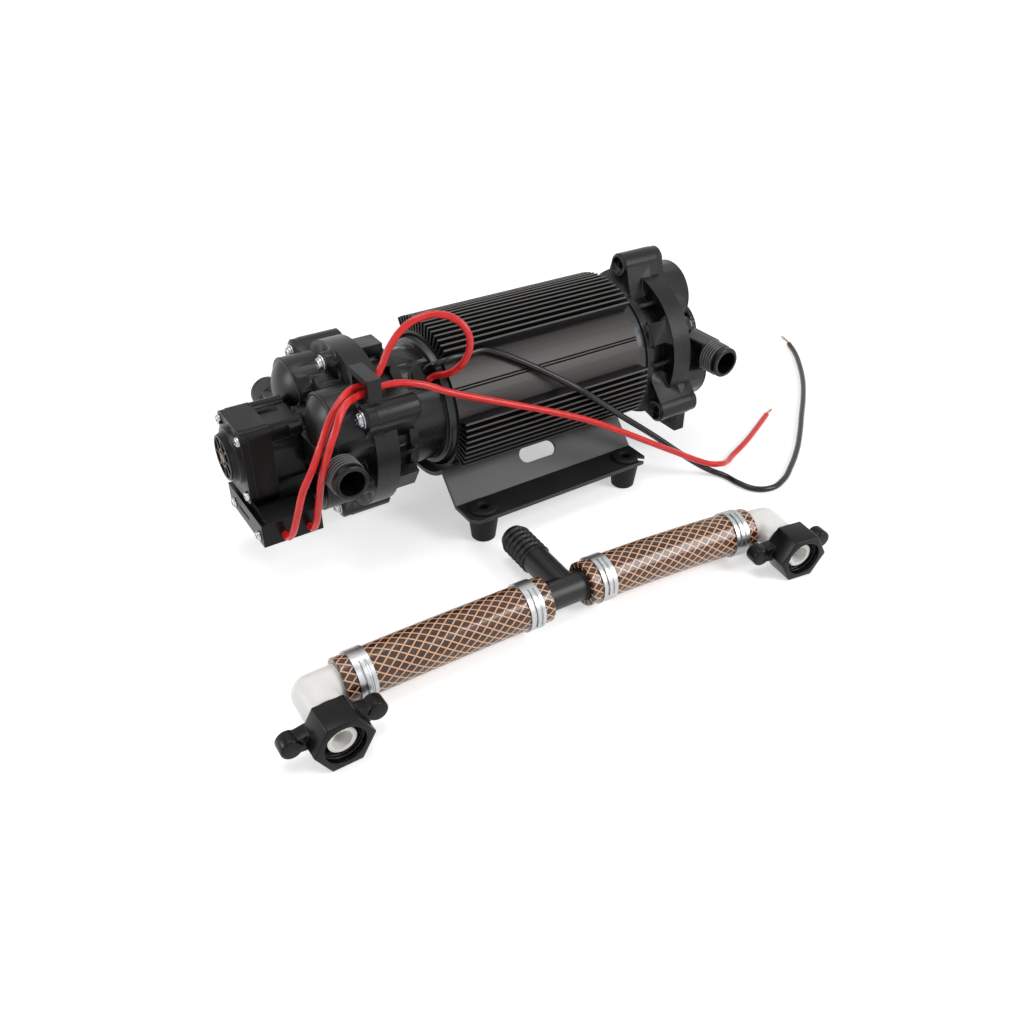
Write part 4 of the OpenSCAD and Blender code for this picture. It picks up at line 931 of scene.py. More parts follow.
def turned(x: float = 0, y: float = 0, z: float = 0) -> Matrix:
    """Gives a turn about x, then y, then z, in degrees."""
    return Euler([math.radians(a) for a in (x, y, z)]).to_matrix().to_4x4()


def moved(x: float = 0, y: float = 0, z: float = 0) -> Matrix:
    """Gives a move in millimetres."""
    return Matrix.Translation(Vector((x, y, z)) * MM)


@dataclass
class SmoothedShell:
    """A CAD solid's own skin, merged and smoothed so that round walls shade round."""

    node: str
    body: str
    finish: Finish
    angle: float = 24
    reshape: Callable[[Workpiece], None] | None = None
    # Corners closer than this are one corner, in metres
    merge: float = 0.00001

    def build(self) -> Workpiece:
        """Copies the solid, merges its loose triangles, smooths it and hands it in.

        The flat faces keep their own normals, so that they shade flat up to their edges.

        Returns:
            The piece that stands for the node.
        """
        source = Workpiece(self.node)
        source.obj = frame["nodes"][self.node]
        piece = source.twin(self.node + "_skin")
        piece.obj.parent = None
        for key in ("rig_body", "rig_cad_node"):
            if key in piece.obj:
                del piece.obj[key]
        piece.edit(Pick.CORNERS, everything=True)
        bpy.ops.mesh.remove_doubles(threshold=self.merge)
        clear_selection()
        if self.reshape:
            self.reshape(piece)
        piece.smooth(self.angle)
        piece.modify("WEIGHTED_NORMAL", mode="FACE_AREA", weight=80, keep_sharp=True)
        piece.paint(self.finish)
        return piece.hand_in(self.body, self.node)


# Studio


@dataclass(frozen=True)
class Lamp:
    """A soft rectangular lamp."""

    name: str
    towards: Point
    reach: float
    width: float
    watts: float
    tall: float = 1.0

    def hang(self, middle: Vector) -> None:
        """Hangs the lamp so that it faces the object.

        Args:
            middle: middle of the object, in metres.
        """
        data = bpy.data.lights.new(self.name, "AREA")
        data.shape = "RECTANGLE"
        data.size = self.width
        data.size_y = self.width * self.tall
        data.energy = self.watts
        lamp = bpy.data.objects.new(self.name, data)
        bpy.context.scene.collection.objects.link(lamp)
        way = Vector(self.towards).normalized()
        lamp.location = middle + way * self.reach
        lamp.rotation_euler = way.to_track_quat("Z", "Y").to_euler()


@dataclass
class Studio:
    """Camera, floor and soft lamps."""

    eye_mm: Point = (-298.02, -454.26, 344.06)
    yaw: float = -33.65
    pitch: float = -35.06
    roll: float = 0.64
    lens_mm: float = 32.85
    sensor_mm: float = 36
    middle_mm: Point = (-20.0, -40.0, 50.0)
    # Strength of the world where it only lights the object
    ambient: float = 0.3
    floor_size: float = 12
    floor_drop: float = 0.0002
    paper: str = "#f2f2f2"
    # The paper's own glow, near the object and beyond where it becomes backdrop, in metres
    glow_near: float = 0.5
    glow_gain: float = 0.3
    glow_span: tuple[float, float] = (0.4, 1.2)
    lamps: tuple[Lamp, ...] = (
        Lamp("key", (0.48, -0.7, 0.52), 1.3, 0.45, 9, 1.8),
        Lamp("top", (-0.1, 0.1, 1.0), 1.2, 0.6, 4),
        Lamp("window", (-0.9, 0.3, 0.32), 1.2, 0.35, 3.5),
        Lamp("left", (-0.8, -0.6, 0.25), 1.2, 0.5, 1))

    def camera(self) -> None:
        """Sets the camera at the photograph's viewpoint."""
        data = bpy.data.cameras.new("view")
        data.lens = self.lens_mm
        data.sensor_width = self.sensor_mm
        data.clip_start = 0.01
        camera = bpy.data.objects.new("view", data)
        bpy.context.scene.collection.objects.link(camera)
        camera.matrix_world = (moved(*self.eye_mm) @ turned(z=self.yaw)
                               @ turned(x=90 + self.pitch) @ turned(z=self.roll))
        bpy.context.scene.camera = camera

    @staticmethod
    def seen(tree: bpy.types.NodeTree) -> bpy.types.Node:
        """Marks what the camera, a reflection or a clear piece looks at.

        Args:
            tree: node tree of the world or of a material.

        Returns:
            A node that gives 1 there and 0 to plain light.
        """
        path = add_node(tree, "ShaderNodeLightPath")
        either = add_node(tree, "ShaderNodeMath", {
            0: path.outputs["Is Camera Ray"], 1: path.outputs["Is Glossy Ray"]},
            operation="MAXIMUM")
        return add_node(tree, "ShaderNodeMath", {
            0: either, 1: path.outputs["Is Transmission Ray"]}, operation="MAXIMUM")

    def background(self) -> None:
        """Makes the world white where it is seen, also in reflections, and dimmer as a lamp."""
        world = bpy.data.worlds.new("studio")
        bpy.context.scene.world = world
        world.use_nodes = True
        tree = world.node_tree
        tree.nodes.clear()
        strength = add_node(tree, "ShaderNodeMath", {0: self.seen(tree), 1: self.ambient},
                            operation="MAXIMUM")
        shader = add_node(tree, "ShaderNodeBackground",
                          {"Color": (1.0, 1.0, 1.0, 1.0), "Strength": strength})
        add_node(tree, "ShaderNodeOutputWorld", {"Surface": shader})

    def floor(self) -> None:
        """Lays a pale floor that keeps the object's shadow."""
        clear_selection()
        bpy.ops.mesh.primitive_plane_add(size=self.floor_size,
                                         location=(0, 0, -self.floor_drop))
        plane = bpy.context.object
        plane.name = "studio_floor"
        material = bpy.data.materials.new("studio_paper")
        material.use_nodes = True
        tree = material.node_tree
        tree.nodes.clear()
        paper = add_node(tree, "ShaderNodeBsdfDiffuse", {"Color": linear(self.paper)})
        place = add_node(tree, "ShaderNodeTexCoord").outputs["Object"]
        away = add_node(tree, "ShaderNodeVectorMath", {0: place}, operation="LENGTH")
        near, far = self.glow_span
        backdrop = add_node(tree, "ShaderNodeMapRange",
                            {0: away.outputs["Value"], 1: near, 2: far}, **SOFT)
        share = add_node(tree, "ShaderNodeMath",
                         {0: backdrop, 1: self.glow_gain, 2: self.glow_near},
                         operation="MULTIPLY_ADD")
        strength = add_node(tree, "ShaderNodeMath", {0: self.seen(tree), 1: share},
                            operation="MULTIPLY")
        glow = add_node(tree, "ShaderNodeEmission", {"Strength": strength})
        both = add_node(tree, "ShaderNodeAddShader", {0: paper, 1: glow})
        add_node(tree, "ShaderNodeOutputMaterial", {"Surface": both})
        plane.data.materials.append(material)

    def build(self) -> None:
        """Sets up the whole studio."""
        bpy.context.scene.view_settings.view_transform = "Standard"
        self.camera()
        self.background()
        self.floor()
        for lamp in self.lamps:
            lamp.hang(Vector(self.middle_mm) * MM)
        LOG.info("studio ready")


# Wiring


@dataclass
class Wire:
    """One insulated lead on its own route."""

    name: str
    route: tuple[Point, ...]
    finish: Finish
    far_end: str
    diameter: float = 4.0
    # The smooth curve is this much longer than its straight steps
    curl: float = 1.003

    def build(self, ends: Sequence[bpy.types.Object] = ()) -> bpy.types.Object:
        """Args:
            ends: the separate pieces on it; not used.

        Returns:
            The curve.
        """
        data = bpy.data.curves.new(self.name + "_lead", "CURVE")
        data.dimensions = "3D"
        data.bevel_depth = self.diameter / 2 * MM
        data.bevel_resolution = 5
        data.resolution_u = 8
        data.use_fill_caps = True
        spline = data.splines.new("BEZIER")
        spline.bezier_points.add(len(self.route) - 1)
        for knot, at in zip(spline.bezier_points, self.route):
            knot.co = Vector(at) * MM
            knot.handle_left_type = "AUTO"
            knot.handle_right_type = "AUTO"
        lead = bpy.data.objects.new(self.name + "_lead", data)
        bpy.context.scene.collection.objects.link(lead)
        data.materials.append(self.finish.build())
        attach(lead, "pump")
        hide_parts(self.name)
        bpy.context.view_layer.update()
        return lead


@dataclass
class StrandTail:
    """Bare end of a lead: six strands twisted round a seventh."""

    name: str
    route: tuple[Point, ...]
    bundle: float = 2.2
    twist_mm: float = 9.0
    outer_strands: int = 6
    steps: int = 14
    # Each strand of three ends this share of its length earlier than the one before
    stagger: float = 0.05

    def build(self) -> bpy.types.Object:
        """Builds the twisted strands and lets them stand for the CAD node.

        Returns:
            The strands.
        """
        strand = self.bundle / 3
        data = bpy.data.curves.new(self.name + "_strands", "CURVE")
        data.dimensions = "3D"
        data.bevel_depth = strand / 2 * MM
        data.bevel_resolution = 2
        data.use_fill_caps = True
        points = [Vector(p) for p in self.route]
        total = sum((b - a).length for a, b in zip(points, points[1:]))
        for k in range(self.outer_strands + 1):
            spline = data.splines.new("POLY")
            spline.points.add(self.steps)
            out = strand if k < self.outer_strands else 0
            for i in range(self.steps + 1):
                run = total * i / self.steps * (1 - self.stagger * (k % 3))
                at, way = self.along(points, run)
                side = way.cross(Vector((0, 0, 1))).normalized()
                up = side.cross(way)
                turn = 2 * math.pi * (run / self.twist_mm + k / self.outer_strands)
                where = at + out * (math.cos(turn) * side + math.sin(turn) * up)
                spline.points[i].co = (*(where * MM), 1)
        curve = bpy.data.objects.new(self.name + "_strands", data)
        bpy.context.scene.collection.objects.link(curve)
        clear_selection()
        curve.select_set(True)
        bpy.context.view_layer.objects.active = curve
        bpy.ops.object.convert(target="MESH")
        piece = Workpiece(self.name + "_strands").take()
        piece.smooth(50).paint(STRANDS).hand_in("pump", self.name)
        return piece.obj

    @staticmethod
    def along(points: Sequence[Vector], run: float) -> tuple[Vector, Vector]:
        """Finds a place on a route.

        Args:
            points: points of the route, in mm.
            run: distance along it, in mm.

        Returns:
            The place there and the direction.
        """
        for a, b in zip(points, points[1:]):
            step = (b - a).length
            if run <= step + 1e-6:
                return a.lerp(b, run / step), (b - a).normalized()
            run -= step
        return points[-1], (points[-1] - points[-2]).normalized()


@dataclass
class Wiring:
    """The link between switch and motor and the two supply leads."""

    link: tuple[Point, ...] = (
        (-170.5, -30, 31.8), (-170.5, -37, 32), (-169.5, -43, 37.5), (-167, -47.5, 50),
        (-162.5, -51, 68), (-157, -53, 80), (-150, -53, 94), (-142, -49, 104.5),
        (-133, -44, 110.5), (-125, -39.5, 112.4), (-118, -37.6, 111.9), (-111, -37, 112.9),
        (-105, -36, 119), (-100, -35.5, 127.5), (-90, -36.5, 138.5), (-80, -38, 142.5),
        (-71, -41, 143), (-63.5, -46, 140), (-59, -50, 133.5), (-58, -50.5, 125.5),
        (-59.5, -49, 118), (-62.3, -44, 110.3), (-64.8, -37.5, 105), (-66.5, -31.5, 102),
        (-68.4, -26.4, 99.2), (-71, -24.5, 96.9), (-73.5, -22.9, 94.9))
    red: tuple[Point, ...] = (
        (-155.5, -30, 31.8), (-155.5, -37, 32.2), (-155, -42, 38), (-153.5, -47, 54),
        (-152, -52, 72), (-149, -57, 88.5), (-143.5, -57.5, 101.5), (-135, -51.5, 110),
        (-125, -44.7, 110.2), (-116, -42.6, 110), (-106, -43, 111.5), (-90, -46.3, 109.2),
        (-70, -49.5, 99.6), (-50, -53, 91.2), (-30, -56.8, 83.3), (-8, -60.8, 74.3),
        (15, -64.6, 63.8), (38, -68.7, 51.2), (61, -73, 37.5), (82, -76.5, 25),
        (100, -80, 14.5), (110, -82, 9.6), (119, -83, 7), (129, -79.5, 3.6),
        (141, -73.5, 2), (161, -65.5, 2), (182, -55.5, 2), (203, -45, 2))
    black: tuple[Point, ...] = (
        (-73.5, -18.3, 98.5), (-71, -19.9, 100.5), (-68.6, -21.8, 103), (-66.8, -25, 105.6),
        (-63.5, -27.6, 107.6), (-57, -28.3, 109), (-47, -27.8, 108.3), (-36, -27.6, 108.2),
        (-28, -31, 105.8), (-18, -36, 101), (-6, -42, 94.2), (5, -48, 87.3), (17, -53.8, 79.2),
        (34, -55, 65.5), (52, -55, 50.5), (66, -58.5, 39.5), (79, -64, 29), (92, -70.5, 18),
        (104, -76.5, 8.5), (112, -82, 3.4), (117, -90, 2), (118.5, -102, 2), (122.5, -112.5, 2),
        (132, -117.8, 2), (146, -115.5, 2), (164, -106, 2), (184, -93, 2), (204, -77.5, 2),
        (226, -59, 2), (248, -40.5, 2), (270, -20, 2), (289, 1, 2), (303, 19, 2), (312, 34, 2))
    red_tail: tuple[Point, ...] = ((203, -45, 2), (208, -42.5, 2), (213, -40.5, 1.4))
    black_tail: tuple[Point, ...] = ((312, 34, 2), (315, 39, 2), (319, 49, 1.4))

    def build(self) -> None:
        """Lays the leads and their bare ends."""
        red_end = StrandTail("red_bare_end", self.red_tail).build()
        black_end = StrandTail("black_bare_end", self.black_tail).build()
        Wire("red_link_wire", self.link, RED_PVC, "object").build()
        Wire("red_supply_wire", self.red, RED_PVC, "bare").build([red_end])
        Wire("black_supply_wire", self.black, BLACK_PVC, "bare").build([black_end])


# Manifold


@dataclass
class WingNut:
    """Wing nut of black acetal, round z with its mouth up and its wings along y."""

    flats: float = 27
    length: float = 20
    edge: float = 0.7
    bore_r: float = 10.6
    throat_r: float = 8.8
    collar: float = 2.5
    collar_inset: tuple[float, float] = (2.4, 0.6)
    knob_r: float = 5.5
    knob_h: float = 9
    knob_at: float = 21.5
    neck_size: Point = (10.2, 9.6, 8.4)
    neck_at: float = 15.4
    neck_mid: float = 5.4
    neck_taper: Point = (0.82, 1, 0.9)
    rib_size: Point = (1.2, 8, 1.6)
    rib_at: float = 16
    rib_top: float = 9.4
    rib_lean: float = 9
    thread_r: float = 10.55
    thread_wire: float = 0.42
    thread_start: float = 6.5
    thread_pitch: float = 1.9
    thread_turns: int = 6

    def hexagon(self) -> Workpiece:
        """Builds the six flats over the collar, with the bore through both.

        Returns:
            The body of the nut.
        """
        body = Workpiece("nut").cylinder(
            self.flats / 2 / math.cos(math.pi / 6), self.length - self.collar,
            (0, 0, (self.length + self.collar) / 2), sides=6)
        body.settle().round_edges(self.edge, 3)
        body.cut_away(Workpiece("hole").cylinder(self.bore_r, 40, (0, 0, 15)))
        foot, top = (self.flats / 2 - inset for inset in self.collar_inset)
        collar = Workpiece("collar").cylinder(
            foot, self.collar + 1, (0, 0, (self.collar + 1) / 2), top_radius=top)
        collar.settle().round_edges(0.6, 2)
        collar.cut_away(Workpiece("hole").cylinder(self.throat_r, 40))
        collar.cut_away(Workpiece("hole").cylinder(self.bore_r, 10, (0, 0, 8)))
        return body.weld(collar)

    def wing(self, way: int) -> Workpiece:
        """Builds one wing: a round knob on a tapered neck with a rib.

        Args:
            way: 1 for the wing along +y and -1 for the other.

        Returns:
            The wing.
        """
        knob = Workpiece("knob").cylinder(self.knob_r, self.knob_h,
                                          (0, way * self.knob_at, self.knob_r), 40)
        knob.settle().round_edges(1.3, 3)
        neck = Workpiece("neck").block(self.neck_size, (0, way * self.neck_at, self.neck_mid))
        neck.settle()
        neck.pick_faces(lambda at, normal: normal.y * way > 0.9)
        bpy.ops.transform.resize(value=self.neck_taper)
        clear_selection()
        neck.round_edges(0.8, 2)
        rib = Workpiece("rib").block(self.rib_size, (0, way * self.rib_at, self.rib_top),
                                     (way * self.rib_lean, 0, 0))
        rib.settle().round_edges(0.4, 2)
        return knob.weld(neck, rib)

    def build(self) -> Workpiece:
        """Builds the nut.

        Returns:
            The nut, with the ridges of its thread in the mouth.
        """
        ridges = []
        for k in range(self.thread_turns):
            height = self.thread_start + self.thread_pitch * k
            ridges.append(Workpiece("ridge").ring(self.thread_r, self.thread_wire, height).settle())
        nut = self.hexagon()
        return nut.weld(self.wing(-1), self.wing(1), *ridges).smooth(35)


@dataclass
class BandClamp:
    """Band clamp of stainless strip, round z with its tongue at -x and its ear at +x."""

    band_r: float
    width: float = 9.0
    strip: float = 0.9
    # Share of the strip's thickness beyond which a face is on its outside
    outer_share: float = 0.8
    gaps: tuple[tuple[float, float], ...] = ((-2.5, -1.5), (1.1, 2.1))
    gap_depth: float = 0.4
    tongue_turn: float = 48
    tongue_rise: float = 0.35
    ear_size: Point = (1.6, 7.5, 7.2)
    ear_drop: float = -0.45
    ear_fold: float = 2.2
    ear_foot: float = 0.7

    def on_arc(self, at: Vector, low: float, high: float) -> bool:
        """Says whether a place lies on the outside of the band, within the tongue's arc.

        Args:
            at: the place, in mm.
            low: least height, in mm.
            high: greatest height, in mm.

        Returns:
            Whether it lies there.
        """
        outside = math.hypot(at.x, at.y) > self.band_r + self.strip * self.outer_share
        turn = abs(math.degrees(math.atan2(at.y, -at.x)))
        return low < at.z < high and outside and turn < self.tongue_turn

    def ear(self) -> Workpiece:
        """Builds the pinched ear: a block whose two feet are folded down.

        Returns:
            The ear.
        """
        ear = Workpiece("ear").block(
            self.ear_size, (self.band_r + self.strip + 0.5, 0, self.ear_drop))
        ear.settle().cut_across(Axis.Y, (-self.ear_fold, self.ear_fold))
        ear.pick_faces(lambda at, normal: normal.x > 0.9 and abs(at.y) > self.ear_fold)
        bpy.ops.transform.translate(value=(-self.ear_foot * MM, 0, 0))
        clear_selection()
        return ear.round_edges(0.3)

    def build(self) -> Workpiece:
        """Builds the clamp: a rolled band with a tongue between two gaps, and its ear.

        Returns:
            The clamp, its gaps on the second material slot.
        """
        clamp = Workpiece("clamp").cylinder(self.band_r + self.strip, self.width, sides=96)
        clamp.settle()
        clamp.pick_faces(lambda at, normal: abs(normal.z) > 0.9)
        bpy.ops.mesh.delete(type="FACE")
        clear_selection()
        clamp.cut_across(Axis.Z, [edge for gap in self.gaps for edge in gap])
        clamp.modify("SOLIDIFY", thickness=self.strip * MM, offset=-1.0)
        low, high = self.gaps
        clamp.pick_faces(lambda at, normal: self.on_arc(at, low[1], high[0]))
        bpy.ops.mesh.extrude_region_shrink_fatten(
            TRANSFORM_OT_shrink_fatten={"value": self.tongue_rise * MM})
        clear_selection()
        clamp.pick_faces(lambda at, normal: any(self.on_arc(at, *gap) for gap in self.gaps))
        bpy.ops.mesh.extrude_region_shrink_fatten(
            TRANSFORM_OT_shrink_fatten={"value": -self.gap_depth * MM})
        bpy.ops.object.material_slot_add()
        bpy.ops.object.material_slot_add()
        clamp.obj.active_material_index = 1
        bpy.ops.object.material_slot_assign()
        clear_selection()
        return clamp.weld(self.ear()).smooth(40)


@dataclass
class Manifold:
    """Braided hoses, band clamps and wing nuts on the tee and its elbows."""

    pos: tuple[float, float] = (-53, -141)
    heading: float = -2.4
    hose_d: float = 25.5
    hose_bore: float = 18.5
    clamp_t: float = 0.9
    tee_left: float = 15
    tee_right: float = 10
    left_l: float = 120
    right_l: float = 115
    left_bend: float = 2.4
    right_bend: float = 6.6
    # The braid as the photograph shows it, counted along and round a hose
    threads_round: int = 16
    diamond_mm: float = 6.8
    clamp_inset: float = 11
    clamp_turns: tuple[float, ...] = (120, 112, 48, 42)
    end_gap: float = 13.6
    nut_start: float = 18

    @property
    def band_r(self) -> float:
        """Inner radius of a clamp band."""
        return self.hose_d / 2 + 0.04

    @property
    def bed(self) -> Matrix:
        """Frame of the tee's middle."""
        return moved(*self.pos, self.band_r + self.clamp_t) @ turned(z=self.heading)

    def on_left(self, share: float) -> Matrix:
        """Frame on the left hose, at a share of its length."""
        radius = self.left_l / math.radians(self.left_bend)
        return (self.bed @ moved(-self.tee_left, -radius) @ turned(z=self.left_bend * share)
                @ moved(0, radius) @ turned(y=-90))

    def on_right(self, share: float) -> Matrix:
        """Frame on the right hose, at a share of its length."""
        radius = self.right_l / math.radians(self.right_bend)
        return (self.bed @ moved(self.tee_right, -radius) @ turned(z=-self.right_bend * share)
                @ moved(0, radius) @ turned(y=90))

    def hose(self, name: str, node: str, length: float, bend: float, place: Matrix) -> None:
        """Builds one hose: a ring spun round its bend, then given its wall.

        Args:
            name: name of the piece.
            node: CAD node that it stands for.
            length: length of the hose, in mm.
            bend: bend of the hose, in degrees.
            place: frame of its first end, x along the hose.
        """
        radius = length / math.radians(bend)
        clear_selection()
        bpy.ops.mesh.primitive_circle_add(vertices=64, radius=self.hose_d / 2 * MM,
                                          rotation=(0, math.pi / 2, 0))
        piece = Workpiece(name).take().settle()
        piece.edit(Pick.CORNERS, everything=True)
        bpy.ops.mesh.spin(steps=60, angle=math.radians(bend), center=(0, -radius * MM, 0),
                          axis=(0, 0, 1))
        clear_selection()
        self.braid_map(piece, radius)
        piece.face_outwards()
        piece.modify("SOLIDIFY", thickness=(self.hose_d - self.hose_bore) / 2 * MM, offset=-1.0)
        piece.round_edges(0.5, 2, 60)
        piece.smooth(40).paint(HOSE).put(place)
        piece.hand_in("manifold", node)

    def braid_map(self, piece: Workpiece, radius: float) -> None:
        """Lays the braid's map: threads round the hose in u, diamonds along it in v.

        Args:
            piece: the hose.
            radius: radius of its bend, in mm.
        """
        mesh = piece.obj.data
        braid = mesh.uv_layers.new(name="braid")
        for face in mesh.polygons:
            first = None
            for loop in face.loop_indices:
                co = mesh.vertices[mesh.loops[loop].vertex_index].co / MM
                out = math.hypot(co.x, co.y + radius)
                turn = math.atan2(co.z, out - radius)
                if first is None:
                    first = turn
                turn += 2 * math.pi * round((first - turn) / (2 * math.pi))
                run = radius * math.atan2(co.x, co.y + radius)
                braid.data[loop].uv = (self.threads_round * turn / (2 * math.pi),
                                       run / self.diamond_mm)

    def clamps(self) -> None:
        """Puts a clamp near each end of both hoses."""
        pattern = BandClamp(self.band_r, strip=self.clamp_t).build()
        left = self.clamp_inset / self.left_l
        right = self.clamp_inset / self.right_l
        places = {
            "left_hose_inner": self.on_left(left),
            "left_hose_outer": self.on_left(1 - left),
            "right_hose_inner": self.on_right(right),
            "right_hose_outer": self.on_right(1 - right),
        }
        for (name, place), turn in zip(places.items(), self.clamp_turns):
            clamp = pattern.twin(name + "_clamp").paint(STRIP, GAP_SHADE)
            clamp.put(place @ turned(z=turn)).hand_in("manifold", "hose_clamps")
        bpy.data.objects.remove(pattern.obj)

    def nuts(self) -> None:
        """Puts a wing nut on each elbow."""
        pattern = WingNut().build()
        for side, hose_end in ((Side.LEFT, self.on_left(1)), (Side.RIGHT, self.on_right(1))):
            place = (hose_end @ moved(0, 0, self.end_gap) @ turned(x=90)
                     @ moved(0, 0, self.nut_start))
            nut = pattern.twin(side.value + "_wing_nut_piece").paint(NUT).put(place)
            nut.hand_in(side.value + "_nut", side.value + "_wing_nut")
        bpy.data.objects.remove(pattern.obj)

    def build(self) -> None:
        """Builds the manifold's pieces and dresses its fittings."""
        self.hose("right_braided_hose", "right_hose", self.right_l, self.right_bend,
                  self.bed @ moved(self.tee_right))
        self.hose("left_braided_hose", "left_hose", self.left_l, self.left_bend,
                  self.on_left(1) @ turned(y=90))
        self.clamps()
        self.nuts()
        SmoothedShell("tee_fitting", "manifold", TEE).build()
        for side in Side:
            SmoothedShell(side.value + "_elbow", "manifold", WHITE).build()


# Pump


@dataclass
class Screw:
    """Cross-recessed pan head screw with a plain washer."""

    head_r: float
    head_h: float
    shank_r: float
    washer_r: float = 0.0
    washer_t: float = 1.0
    crown: float = 0.3
    taper: float = 0.8
    # Length, width and depth of the cross, as shares of the head's radius and height
    cross: Point = (1.1, 0.22, 0.9)
    # Length of the shank inside the head
    root: float = 0.2

    def build(self, reach: float) -> Workpiece:
        """Builds the screw round z, its head down from z = 0 and its shank up.

        Args:
            reach: length of the shank, in mm.

        Returns:
            The screw.
        """
        below = self.washer_t if self.washer_r else 0.0
        head = Workpiece("screw").cylinder(
            self.head_r * self.taper, self.head_h, (0, 0, -below - self.head_h / 2), 32,
            top_radius=self.head_r)
        head.settle().round_edges(self.head_h * self.crown, 3, 30)
        long, wide, deep = self.cross
        for turn in (0, 90):
            blade = Workpiece("blade").block(
                (self.head_r * long, self.head_r * wide, self.head_h * deep),
                (0, 0, -below - self.head_h), (0, 0, turn))
            head.cut_away(blade)
        parts = []
        if self.washer_r:
            washer = Workpiece("washer").cylinder(self.washer_r, below, (0, 0, -below / 2), 40)
            parts.append(washer.settle().round_edges(0.2, 2))
        shank = Workpiece("shank").cylinder(self.shank_r, reach + self.root,
                                            (0, 0, (reach - self.root) / 2), 24)
        parts.append(shank.settle().round_edges(0.4, 1))
        return head.weld(*parts).smooth(35)


@dataclass
class PumpHead:
    """One pump head: its housings, port threads, dome beads and six screws."""

    side: Side
    boss_x: float
    outward: int
    boss_u: float = 32
    lug_ring: float = 56
    lug_turns: tuple[float, ...] = (60, 180, 300)
    lug_spin: float = 17
    valley_ring: float = 40.6
    valley_turns: tuple[float, ...] = (0, 120, 240)
    valley_spin: float = 64
    dome_ring: float = 29
    dome_turns: tuple[int, ...] = (60, 180, 300)
    bead_r: float = 20.3
    bead_wire: float = 1.4
    bead_u: float = 45.6
    bead_height: float = 0.8
    port_u: float = 47
    # Plain ridges of the solid's port stubs
    stub_reach: tuple[float, float] = (46.5, 58.5)
    ridge_span: tuple[float, float] = (10.2, 11)
    ridge_r: float = 10.5
    # A half-inch pipe thread has a pitch of 1.8 mm; it is drawn coarser so that it shows
    thread_pitch: float = 2.2
    thread_start: float = 47.2
    thread_end: float = 58.4
    root_r: float = 9.6
    crest_r: float = 10.6

    @property
    def place(self) -> Matrix:
        """Frame of the head, z outwards from the boss ends."""
        return moved(self.boss_x, 0, AXIS_H) @ turned(y=90 * self.outward)

    @property
    def port_x(self) -> float:
        """Place of the port axis along the pump."""
        return self.boss_x + self.outward * self.port_u

    def turn_down(self, skin: Workpiece) -> None:
        """Takes the plain ridges off both port stubs, down to the root of the thread.

        Args:
            skin: skin of the valve housing.
        """
        start, end = self.stub_reach
        low, high = self.ridge_span
        skin.edit(Pick.CORNERS)
        bpy.ops.object.mode_set(mode="OBJECT")
        for vertex in skin.obj.data.vertices:
            at = vertex.co / MM
            radius = math.hypot(at.x - self.port_x, at.z - AXIS_H)
            vertex.select = start < abs(at.y) < end and low < radius < high
        bpy.ops.object.mode_set(mode="EDIT")
        share = self.root_r / self.ridge_r
        bpy.ops.transform.resize(value=(share, 1, share),
                                 center_override=Vector((self.port_x, 0, AXIS_H)) * MM)
        clear_selection()

    def threads(self) -> None:
        """Winds a pipe thread round each port stub."""
        turns = int((self.thread_end - self.thread_start) / self.thread_pitch)
        high = self.crest_r - self.root_r
        for way, place in ((-1, "near"), (1, "far")):
            clear_selection()
            bpy.ops.mesh.primitive_circle_add(
                vertices=4, radius=self.thread_pitch / 2 * MM, rotation=(math.pi / 2, 0, 0))
            tooth = Workpiece(f"{self.side.value}_{place}_port_thread").take().settle()
            tooth.edit(Pick.CORNERS, everything=True)
            bpy.ops.transform.resize(value=(2 * high / self.thread_pitch, 1, 1))
            bpy.ops.transform.translate(value=(self.root_r * MM, 0, 0))
            tooth.modify("SCREW", screw_offset=self.thread_pitch * MM, iterations=turns,
                         steps=40, render_steps=40)
            tooth.edit(Pick.EDGES, everything=True)
            bpy.ops.mesh.fill_holes(sides=4)
            tooth.face_outwards()
            # The thread's finish paints shade in the roots and a highlight on the crests
            tooth.smooth(30).paint(THREAD_PAINTED_LIGHT)
            tooth.put(moved(self.port_x, way * self.thread_start, AXIS_H)
                      @ turned(x=-90 * way))
            tooth.hand_in("pump")

    def beads(self) -> None:
        """Lays a moulded bead round the cap of each dome."""
        for angle in self.dome_turns:
            bead = Workpiece(f"{self.side.value}_dome_bead_{angle}")
            bead.ring(self.bead_r, self.bead_wire, around=80, section=12)
            bead.edit(Pick.CORNERS, everything=True)
            bpy.ops.transform.resize(value=(1, 1, self.bead_height))
            bead.smooth(60).paint(HOUSING)
            bead.put(self.place @ turned(z=angle) @ moved(self.dome_ring, 0, self.bead_u))
            bead.hand_in("pump")

    def build(self, long_screw: Workpiece, short_screw: Workpiece) -> None:
        """Dresses the housings and puts in the screws.

        Args:
            long_screw: pattern of the lug screws.
            short_screw: pattern of the valley screws.
        """
        side = self.side.value
        SmoothedShell(side + "_drive_housing", "pump", HOUSING).build()
        SmoothedShell(side + "_valve_housing", "pump", HOUSING, reshape=self.turn_down).build()
        self.threads()
        self.beads()
        sets = ((long_screw, self.lug_ring, self.lug_turns, self.lug_spin),
                (short_screw, self.valley_ring, self.valley_turns, self.valley_spin))
        for pattern, ring, angles, spin in sets:
            for angle in angles:
                screw = pattern.twin(f"{side}_head_screw_{angle}")
                seat = (self.place @ turned(z=angle) @ moved(ring, 0, self.boss_u)
                        @ turned(x=180) @ turned(z=spin + angle))
                screw.paint(ZINC).put(seat).hand_in("pump", side + "_head_screws")


